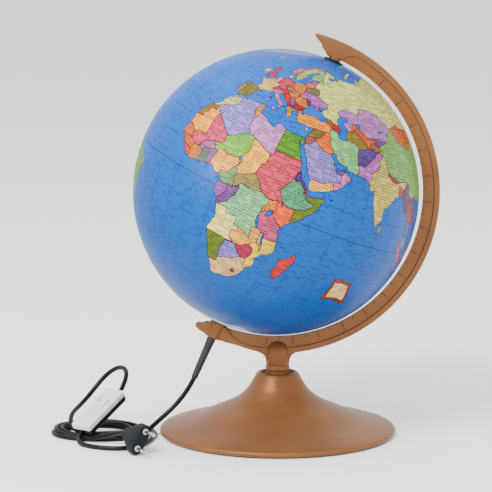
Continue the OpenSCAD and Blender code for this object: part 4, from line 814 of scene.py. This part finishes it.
def regions(flat, triangles, inside, land_count, lake_count, country_count):
    """For each triangle: -1 for sea, else the country, with gaps taken up by the neighbour with the longest side."""
    first_country = land_count + lake_count
    title = first_country + country_count
    owner = []
    for ids in inside:
        ids = set(ids)
        if title + 1 in ids or title in ids:
            owner.append(country_count + (1 if title + 1 in ids else 0))
            continue
        on_land = any(i < land_count for i in ids) and not any(land_count <= i < first_country for i in ids)
        held = [i - first_country for i in ids if first_country <= i < title]
        owner.append(-1 if not on_land else max(held) if held else None)
    beside = {}
    for t, corners in enumerate(triangles):
        for a, b in zip(corners, corners[1:] + corners[:1]):
            beside.setdefault((min(a, b), max(a, b)), []).append(t)
    open_ones = {t for t, o in enumerate(owner) if o is None}
    while open_ones:
        claims = {}
        for (a, b), pair in beside.items():
            if len(pair) != 2:
                continue
            for t, other in (pair, pair[::-1]):
                if t in open_ones and owner[other] is not None and owner[other] >= 0:
                    length = (flat[a] - flat[b]).length
                    if length > claims.get(t, (0, 0))[0]:
                        claims[t] = (length, owner[other])
        if not claims:
            break
        for t, (_, who) in claims.items():
            owner[t] = who
            open_ones.discard(t)
    return [0 if o is None else o for o in owner], beside


def ink_ribbons(flat, beside, owner):
    """A thin quad along each border and coast, mitred where two meet. Returns the quads and what each one is."""
    lines = [(edge, -1 in (owner[pair[0]], owner[pair[1]])) for edge, pair in beside.items()
             if len(pair) == 2 and owner[pair[0]] != owner[pair[1]]]
    meets = {}
    for (a, b), _ in lines:
        meets.setdefault(a, []).append(b)
        meets.setdefault(b, []).append(a)
    quads, kinds = [], []
    for (a, b), coast in lines:
        pa, pb = flat[a], flat[b]
        squeeze = max(0.08, math.cos(math.radians((pa.y + pb.y) / 2)))
        half = 0.13 if coast else 0.15

        def flat_ground(p):
            return Vector((p.x * squeeze, p.y))
        ga, gb = flat_ground(pa), flat_ground(pb)
        if (gb - ga).length < 1e-5:
            continue
        along = (gb - ga).normalized()
        normal = Vector((-along.y, along.x))
        ends = []
        for here, other, sign in ((a, b, 1), (b, a, -1)):
            offset = normal * half
            if len(meets[here]) == 2:
                far = next(n for n in meets[here] if n != other) if meets[here][0] != meets[here][1] else other
                beyond = flat_ground(flat[here]) - flat_ground(flat[far])
                if beyond.length > 1e-5:
                    turn = beyond.normalized() * sign
                    mitre = normal + Vector((-turn.y, turn.x))
                    if mitre.length > 0.5:
                        mitre.normalize()
                        offset = mitre * (half / max(0.5, mitre.dot(normal)))
            ends.append(Vector((offset.x / squeeze, offset.y)))
        quad = [pa - ends[0], pb - ends[1], pb + ends[1], pa + ends[0]]
        turns = [(quad[i - 1] - quad[i - 2]).cross(quad[i] - quad[i - 1]) for i in range(4)]
        if min(turns) <= 1e-6:
            side = Vector((normal.x * half / squeeze, normal.y * half))
            quad = [pa - side, pb - side, pb + side, pa + side]
        quads.append(quad)
        kinds.append(coast)
    return quads, kinds


def on_ball(lon, lat, r=R_GLOBE):
    turn, rise = math.radians(lon - LON_FACING), math.radians(lat)
    return Vector((r * math.cos(rise) * math.sin(turn), -r * math.cos(rise) * math.cos(turn), r * math.sin(rise)))


def print_map():
    """The map's points, triangles and colours, all borders, coasts and the title panel among them."""
    lands = [sketched(t) for t in LANDS.values()]
    lakes = [sketched(t, 0.2) for t in LAKES.values()]
    countries = [sketched(t, 0.5) for _, _, t in COUNTRIES]
    title = [sketched(TITLE_BORDER, 0.5), sketched(TITLE_PANEL, 0.3)]
    flat, triangles, inside = divide(lands + lakes + countries + title)
    owner, beside = regions(flat, triangles, inside, len(lands), len(lakes), len(countries))
    quads, kinds = ink_ribbons(flat, beside, owner)
    sheet_tree = BVHTree.FromPolygons([(p.x, p.y, 0) for p in flat], triangles)
    points, faces, under = cut_along(quads)
    land_inks = [c for _, c, _ in COUNTRIES] + [BORDER_COLOUR, PANEL_COLOUR]
    colours = [linear(c, INK_PASSES) for c in land_inks]
    sea, coast_ink, border_ink = (linear(c, INK_PASSES) for c in (SEA_BLUE, COAST_INK, BORDER_INK))
    painted = []
    kept = []
    for corners, ribbon in zip(faces, under):
        middle = sum((points[c] for c in corners), Vector((0, 0))) / 3
        # An outline that wanders past the sheet's edge leaves slivers there, which would cut across the ball
        if not (LON_FROM < middle.x < LON_TO and LAT_FROM < middle.y < LAT_TO):
            continue
        kept.append(corners)
        if ribbon is not None:
            painted.append((*(coast_ink if kinds[ribbon] else border_ink), 0.0))
            continue
        hit = sheet_tree.find_nearest(Vector((middle.x, middle.y, 0)))
        who = owner[hit[2]]
        painted.append((*sea, 0.0) if who < 0 else (*colours[who], 1.0 if who < len(COUNTRIES) else 0.5))
    return points, kept, painted


map_points, map_faces, map_paint = print_map()


def half_ball(name, north, cad_node):
    """One printed hemisphere: the map outside, a plain skin inside, joined at the hole and at the equator."""
    bm = bmesh.new()
    ink = bm.loops.layers.float_color.new("print")
    placed = {}
    for corners, colour in zip(map_faces, map_paint):
        middle = sum(map_points[c].y for c in corners) / 3
        if (middle > 0) != north:
            continue
        ring = []
        for c in corners:
            if c not in placed:
                placed[c] = bm.verts.new(on_ball(map_points[c].x, map_points[c].y))
            ring.append(placed[c])
        face = bm.faces.new(ring)
        for loop in face.loops:
            loop[ink] = colour
    outer = set(bm.faces)
    side = 1 if north else -1
    hole = 87.7 if north else 87.1
    edge = [(R_GLOBE, 0.0)] + [(R_SHELL * math.cos(math.radians(a)), side * R_SHELL * math.sin(math.radians(a)))
                               for a in [hole * i / 24 for i in range(25)]]
    edge.append((R_GLOBE * math.cos(math.radians(hole)), side * R_GLOBE * math.sin(math.radians(hole))))
    turned(bm, edge, count=120)
    for face in bm.faces:
        if face not in outer:
            for loop in face.loops:
                loop[ink] = (*linear("#e8ecef"), 0.0)
            middle = face.calc_center_median()
            if face.normal.dot(-middle) < 0 and middle.length < R_GLOBE - 0.5:
                face.normal_flip()
    bmesh.ops.scale(bm, vec=(MM, MM, MM), verts=bm.verts[:])
    mesh = bpy.data.meshes.new(name)
    bm.to_mesh(mesh)
    bm.free()
    mesh.shade_smooth()
    lean = Matrix.Rotation(TILT, 3, "Y")
    mesh.normals_split_custom_set_from_vertices([
        lean @ v.co.normalized() * (1 if v.co.length > 0.1499 else -1) for v in mesh.vertices])
    for vertex in mesh.vertices:
        vertex.co = lean @ vertex.co + GLOBE_AT * MM
    made = bpy.data.objects.new(name, mesh)
    bpy.context.scene.collection.objects.link(made)
    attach(made, "globe")
    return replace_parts(made, cad_node)


north_map = half_ball("north_map", True, "north_hemisphere")
south_map = half_ball("south_map", False, "south_hemisphere")

# ---------------------------------------------------------------- finishes


def add(tree, kind, inputs=None, stops=None, **settings):
    """Adds a shader node with its settings; inputs are values or other nodes' outputs."""
    made = tree.nodes.new("ShaderNode" + kind)
    for name, value in settings.items():
        setattr(made, name, value)
    for name, value in (inputs or {}).items():
        if isinstance(value, bpy.types.NodeSocket):
            tree.links.new(value, made.inputs[name])
        else:
            made.inputs[name].default_value = value
    for i, (place, shade) in enumerate(stops or []):
        stop = made.color_ramp.elements[i] if i < 2 else made.color_ramp.elements.new(place)
        stop.position, stop.color = place, (*linear(shade), 1)
    return made


def bare(name, **shader):
    """A material with only its main shader, its uniform values set on the shader itself."""
    made = bpy.data.materials.new(name)
    made.use_nodes = True
    tree = made.node_tree
    main = tree.nodes["Principled BSDF"]
    for key, value in shader.items():
        main.inputs[key.replace("_", " ")].default_value = value
    return made, tree, main


def moulded(name, light, dark, rough, grain_mm, depth_mm=0.02, cloud_mm=25, spread=0.06, **shader):
    """A moulded or cast surface: a fine grain that breaks the gloss, and slow, faint clouds of shade."""
    made, tree, main = bare(name, **shader)
    place = add(tree, "TexCoord").outputs["Object"]
    cloud = add(tree, "TexNoise", {"Vector": place, "Scale": 1000 / cloud_mm, "Detail": 3.0})
    tint = add(tree, "ValToRGB", {"Fac": cloud.outputs["Fac"]}, stops=[(0.3, dark), (0.7, light)])
    grain = add(tree, "TexNoise", {"Vector": place, "Scale": 1000 / grain_mm, "Detail": 2.0})
    gloss = add(tree, "MapRange", {"Value": grain.outputs["Fac"], "From Min": 0.3, "From Max": 0.7,
                                   "To Min": rough - spread, "To Max": rough + spread})
    bump = add(tree, "Bump", {"Height": grain.outputs["Fac"], "Strength": 0.5, "Distance": depth_mm * MM})
    tree.links.new(tint.outputs["Color"], main.inputs["Base Color"])
    tree.links.new(gloss.outputs["Result"], main.inputs["Roughness"])
    tree.links.new(bump.outputs["Normal"], main.inputs["Normal"])
    return made


def brushed(name, light, dark, rough, line_mm, axis, **shader):
    """Bare or plated metal with fine lathe or rolling lines round one axis."""
    made, tree, main = bare(name, Metallic=1.0, **shader)
    place = add(tree, "TexCoord").outputs["Object"]
    stretch = add(tree, "Mapping", {"Vector": place, "Scale": tuple(40 if i != axis else 1000 / line_mm
                                                                  for i in range(3))})
    lines = add(tree, "TexNoise", {"Vector": stretch.outputs["Vector"], "Scale": 1.0, "Detail": 2.0})
    tint = add(tree, "ValToRGB", {"Fac": lines.outputs["Fac"]}, stops=[(0.35, dark), (0.65, light)])
    gloss = add(tree, "MapRange", {"Value": lines.outputs["Fac"], "To Min": rough - 0.08, "To Max": rough + 0.08})
    bump = add(tree, "Bump", {"Height": lines.outputs["Fac"], "Strength": 0.3, "Distance": 0.01 * MM})
    tree.links.new(tint.outputs["Color"], main.inputs["Base Color"])
    tree.links.new(gloss.outputs["Result"], main.inputs["Roughness"])
    tree.links.new(bump.outputs["Normal"], main.inputs["Normal"])
    return made


# Injection-moulded ABS sprayed with bronze lacquer: a satin copper-brown sheen over a very fine orange peel.
# The peel, about 0.3 mm, is drawn at 0.8 mm so that it shows.
bronze_lacquer = moulded("bronze_lacquer", "#805531", "#76492a", 0.4, 0.8, 0.012, 60, 0.05, Metallic=0.35, IOR=1.45,
                         Specular_IOR_Level=0.2)
# Pad-printed scale ink: matt dark brown; the same dark brown paints the shade along the foot of the rim
scale_ink_and_groove_shade = moulded("scale_ink_and_groove_shade", "#170a04", "#120803", 0.6, 0.5)
# Sand-cast iron, black-washed: dull and pitted
cast_iron = moulded("cast_iron", "#4c4c4e", "#39393b", 0.62, 1.6, 0.12, 12, 0.1, Metallic=0.7)
# Black moulded polypropylene: eggshell sheen
black_plastic = moulded("black_plastic", "#101214", "#0a0c0d", 0.45, 0.6, 0.015, Specular_IOR_Level=0.12)
# Zinc-plated steel: cool, bright, fine turning lines
plated_steel = brushed("plated_steel", "#d0d2d6", "#a9acb2", 0.3, 0.3, 2)
# Pressed wool felt: no gloss, fibres standing proud
felt = moulded("wool_felt", "#2f3d34", "#1f2a23", 0.95, 0.9, 0.4, 4, 0.03, Sheen_Weight=0.35, Sheen_Roughness=0.6)
# White polystyrene: slightly milky
white_plastic = moulded("white_polystyrene", "#e9ebec", "#dfe2e4", 0.35, 0.8, 0.01, Subsurface_Weight=0.1,
                        Subsurface_Scale=0.002)
# Drawn brass: warm, lightly tarnished
drawn_brass = brushed("drawn_brass", "#d8b56a", "#b5924a", 0.32, 0.4, 2)
# Glazed porcelain of the lamp holder: glassy with a soft body
porcelain = moulded("glazed_porcelain", "#ece8dd", "#e0dbcd", 0.14, 2.5, 0.01, 18, 0.04, IOR=1.52, Coat_Weight=0.6,
                    Coat_Roughness=0.05)
# Coloured core insulation, soft PVC
core_pvc = moulded("core_pvc", "#7d5a3a", "#6d4c30", 0.4, 0.6)
# Bulb glass: clear, thin, faintly smoky
bulb_glass, bulb_tree, bulb_main = bare("bulb_glass", Roughness=0.03, IOR=1.5, Transmission_Weight=1.0)
haze = add(bulb_tree, "TexNoise", {"Vector": add(bulb_tree, "TexCoord").outputs["Object"], "Scale": 60.0})
haze_tint = add(bulb_tree, "ValToRGB", {"Fac": haze.outputs["Fac"]}, stops=[(0.3, "#f4f4ee"), (0.7, "#ffffff")])
bulb_tree.links.new(haze_tint.outputs["Color"], bulb_main.inputs["Base Color"])
# Drawn tungsten: dark grey wire
tungsten = brushed("tungsten_wire", "#8b8b8d", "#68686b", 0.4, 0.3, 2)
# Soft PVC mains lead: black with a satin sheen and faint extrusion streaks
lead_pvc = moulded("lead_pvc", "#06090b", "#030506", 0.4, 0.9, 0.012, 14, 0.07, Specular_IOR_Level=0.2)
# Strain relief in brown rubber: matt, dusty in its grooves
relief_rubber = moulded("relief_rubber", "#261c16", "#1b140f", 0.55, 0.7, 0.02, 6)
# Switch halves in ABS: the top pale grey with spark-eroded grain, the bottom near-black with a cool cast
switch_grey = moulded("switch_grey_abs", "#d3d4d8", "#c9cace", 0.42, 0.7, 0.02, 20, 0.05)
switch_black = moulded("switch_black_abs", "#071113", "#040b0c", 0.45, 0.7, 0.02, 20, Specular_IOR_Level=0.18)
# Red polystyrene bead
red_bead = moulded("red_polystyrene", "#7a1710", "#66120c", 0.3, 0.6)
# Plug in soft black PVC: even satin, cool
plug_pvc = moulded("plug_pvc", "#071214", "#050d0f", 0.5, 0.8, 0.02, 14, 0.06, Specular_IOR_Level=0.18)
# Nickel-plated brass pins: bright, slightly warm
nickel_brass = brushed("nickel_brass", "#d6d3c8", "#b4b0a4", 0.24, 0.3, 0)
# Pin bridge and collars in off-white nylon
bridge_nylon = moulded("bridge_nylon", "#dadad4", "#cbcbc5", 0.45, 0.7)
# Pin sleeves in dark nylon
sleeve_nylon = moulded("sleeve_nylon", "#3c4448", "#2e3538", 0.45, 0.6)


def printed_ball():
    """Offset-printed card gores under a clear film: flat inks, fine blue grid, lettering too small to read."""
    made, tree, main = bare("printed_film", Roughness=0.34, IOR=1.49, Specular_IOR_Level=0.12)
    ink = add(tree, "Attribute", attribute_name="print")
    land = ink.outputs["Alpha"]
    polar = add(tree, "Mapping", {"Vector": add(tree, "TexCoord").outputs["Object"], "Location": GLOBE_AT * MM,
                                  "Rotation": (0, TILT, 0)}, vector_type="TEXTURE")
    place = polar.outputs["Vector"]
    axes = add(tree, "SeparateXYZ", {"Vector": place})

    def calc(kind, *values):
        made_node = add(tree, "Math", operation=kind)
        for i, value in enumerate(values):
            if isinstance(value, bpy.types.NodeSocket):
                tree.links.new(value, made_node.inputs[i])
            else:
                made_node.inputs[i].default_value = value
        return made_node.outputs[0]

    def over(amount, below, above):
        mixed = add(tree, "Mix", data_type="RGBA")
        for i, value in ((0, amount), (6, below), (7, above)):
            if isinstance(value, bpy.types.NodeSocket):
                tree.links.new(value, mixed.inputs[i])
            else:
                mixed.inputs[i].default_value = value if i == 0 else (*linear(value), 1)
        return mixed.outputs[2]

    height = calc("DIVIDE", axes.outputs["Z"], R_GLOBE * MM)
    lat = calc("MULTIPLY", calc("ARCSINE", calc("MINIMUM", calc("MAXIMUM", height, -1.0), 1.0)), 180 / math.pi)
    lon = calc("MULTIPLY", calc("ARCTAN2", axes.outputs["X"], calc("MULTIPLY", axes.outputs["Y"], -1.0)),
               180 / math.pi)
    shrink = calc("COSINE", calc("MULTIPLY", lat, math.pi / 180))
    # Grid every ten degrees, in lines of about 0.4 mm; the equator is twice as wide
    shifted = calc("ADD", lon, LON_FACING)
    lon_gap = calc("MULTIPLY", calc("PINGPONG", shifted, 5.0), shrink)
    lat_gap = calc("PINGPONG", lat, 5.0)
    grid = calc("MAXIMUM", calc("LESS_THAN", lon_gap, 0.11), calc("LESS_THAN", lat_gap, 0.11))
    grid = calc("MAXIMUM", grid, calc("LESS_THAN", calc("ABSOLUTE", lat), 0.24))
    grid = calc("MULTIPLY", grid, calc("SUBTRACT", 0.72, calc("MULTIPLY", land, 0.5)))
    # Lettering: rows 2.9 mm apart of strokes about 0.6 mm wide, broken into words; drawn coarser than real 6-point type
    row = calc("DIVIDE", lat, 1.1)
    row_number = calc("FLOOR", row)
    row_band = calc("LESS_THAN", calc("ABSOLUTE", calc("SUBTRACT", calc("FRACT", row), 0.5)), 0.32)
    along = calc("MULTIPLY", shifted, shrink)
    word_at = add(tree, "CombineXYZ", {"X": calc("MULTIPLY", along, 0.28), "Y": calc("MULTIPLY", row_number, 7.31)})
    words = add(tree, "TexNoise", {"Vector": word_at.outputs[0], "Scale": 1.0, "Detail": 0.0})
    stroke_at = add(tree, "CombineXYZ", {"X": calc("MULTIPLY", along, 3.6), "Y": calc("MULTIPLY", row, 3.1)})
    strokes = add(tree, "TexNoise", {"Vector": stroke_at.outputs[0], "Scale": 1.0, "Detail": 1.0})
    need = calc("SUBTRACT", 0.57, calc("MULTIPLY", land, 0.14))
    lettering = calc("MULTIPLY", calc("GREATER_THAN", words.outputs["Fac"], need),
                     calc("GREATER_THAN", strokes.outputs["Fac"], 0.49))
    lettering = calc("MULTIPLY", lettering, row_band)
    lettering = calc("MULTIPLY", lettering, calc("ADD", 0.62, calc("MULTIPLY", land, 0.2)))
    # Town marks, 1 mm dots on the land
    towns = add(tree, "TexVoronoi", {"Vector": place, "Scale": 1000 / 11.0})
    town = calc("MULTIPLY", calc("LESS_THAN", towns.outputs["Distance"], 0.065), land)
    # Relief tint on the land; on the sea a faint random depth tint, with painted shade that darkens the sea towards the
    # south pole and brightens it a little towards the north
    relief = add(tree, "TexNoise", {"Vector": place, "Scale": 1000 / 9.0, "Detail": 4.0, "Roughness": 0.7})
    shade = add(tree, "MapRange", {"Value": relief.outputs["Fac"], "From Min": 0.3, "From Max": 0.7,
                                   "To Min": 0.86, "To Max": 1.1})
    toned = add(tree, "HueSaturation", {"Color": ink.outputs["Color"], "Value": shade.outputs["Result"]})
    # Painted shade: the sea's value falls steadily from the north down to the south pole
    painted_south_shade = add(tree, "MapRange", {"Value": height, "From Min": -1.0, "From Max": 0.75, "To Min": 0.52, "To Max": 1.1})
    depth_noise = add(tree, "TexNoise", {"Vector": place, "Scale": 1000 / 55.0, "Detail": 3.0})
    south_shade_and_depth_tint = calc("MULTIPLY", painted_south_shade.outputs["Result"],
                     calc("ADD", 0.92, calc("MULTIPLY", depth_noise.outputs["Fac"], 0.16)))
    sea = add(tree, "HueSaturation", {"Color": ink.outputs["Color"], "Value": south_shade_and_depth_tint, "Saturation": 1.1})
    colour = add(tree, "Mix", {0: calc("GREATER_THAN", land, 0.25), 6: sea.outputs["Color"],
                               7: toned.outputs["Color"]}, data_type="RGBA").outputs[2]
    colour = over(grid, colour, "#12305c")
    script_ink = over(calc("GREATER_THAN", land, 0.25), "#0c2350", "#221826")
    letters = add(tree, "Mix", {0: lettering, 6: colour, 7: script_ink}, data_type="RGBA").outputs[2]
    colour = over(calc("MULTIPLY", town, 0.8), letters, "#140e18")
    tree.links.new(colour, main.inputs["Base Color"])
    # The film's slight waviness over the card
    wave = add(tree, "TexNoise", {"Vector": place, "Scale": 1000 / 14.0, "Detail": 2.0})
    bump = add(tree, "Bump", {"Height": wave.outputs["Fac"], "Strength": 0.25, "Distance": 0.05 * MM})
    gloss = add(tree, "MapRange", {"Value": wave.outputs["Fac"], "To Min": 0.3, "To Max": 0.4})
    tree.links.new(bump.outputs["Normal"], main.inputs["Normal"])
    tree.links.new(gloss.outputs["Result"], main.inputs["Roughness"])
    return made


map_print = printed_ball()

for finish, names in {
    bronze_lacquer: [base_moulding, arm_moulding, "base_shell", "meridian_arm"],
    scale_ink_and_groove_shade: [scale_and_groove_shade], cast_iron: ["ballast_plate"], black_plastic: ["base_cover", "north_pole_bush",
                                                                         "south_pole_bush"],
    plated_steel: ["cover_screws", "post_screw", "post_washer", "north_pivot_pin", "lamp_stem", "stem_nut",
                   "switch_screws", "bulb_contact"],
    felt: ["felt_disc"], map_print: [north_map, south_map, "north_hemisphere", "south_hemisphere"],
    white_plastic: ["joint_ring"],
    drawn_brass: ["holder_shell", "holder_contact", "holder_terminals", "bulb_cap", "switch_contacts",
                  "switch_terminals"],
    porcelain: ["lamp_holder"], core_pvc: ["lead_cores"], bulb_glass: ["bulb_glass", "bulb_stem"],
    tungsten: ["bulb_filament"],
    lead_pvc: [long_lead, short_lead, "lamp_lead", "cord_lead", "cord_hank", "cord_loop", "cord_tail", "cord_plug"],
    relief_rubber: [relief_sleeve, "strain_relief"], switch_black: [switch_bottom, "switch_base"],
    switch_grey: [switch_top, switch_key, "switch_cover", "switch_rocker"], red_bead: ["rocker_dot"],
    plug_pvc: [plug_moulding, "plug_body"], nickel_brass: ["plug_pins"], bridge_nylon: ["pin_bridge"],
    sleeve_nylon: ["plug_sleeves"],
}.items():
    for name in names:
        data = (nodes[name] if isinstance(name, str) else name).data
        data.materials.clear()
        data.materials.append(finish)

# ---------------------------------------------------------------- floor and light

floor_mesh = bpy.data.meshes.new("floor")
floor_mesh.from_pydata([(-9, -9, 0), (9, -9, 0), (9, 9, 0), (-9, 9, 0)], [], [(0, 1, 2, 3)])
floor = bpy.data.objects.new("floor", floor_mesh)
bpy.context.scene.collection.objects.link(floor)
paper, paper_tree, paper_main = bare("pale_floor", Roughness=0.9)
paper_main.inputs["Base Color"].default_value = (0.93, 0.93, 0.93, 1)
floor_mesh.materials.append(paper)

world = bpy.data.worlds.new("studio")
bpy.context.scene.world = world
world.use_nodes = True
world.node_tree.nodes["Background"].inputs["Color"].default_value = (1, 1, 1, 1)
world.node_tree.nodes["Background"].inputs["Strength"].default_value = 1.5


def softbox(name, at, size, watts):
    light = bpy.data.lights.new(name, "AREA")
    light.shape = "SQUARE"
    light.size, light.energy = size, watts
    lamp = bpy.data.objects.new(name, light)
    bpy.context.scene.collection.objects.link(lamp)
    lamp.location = at
    lamp.rotation_euler = (Vector((0, 0, 0.22)) - Vector(at)).to_track_quat("-Z", "Y").to_euler()


softbox("key", (-1.1, -1.5, 1.9), 1.1, 100)
softbox("fill", (1.7, -1.6, 1.1), 1.4, 6)
softbox("top", (0.2, 0.5, 2.4), 1.6, 22)

bpy.context.view_layer.update()
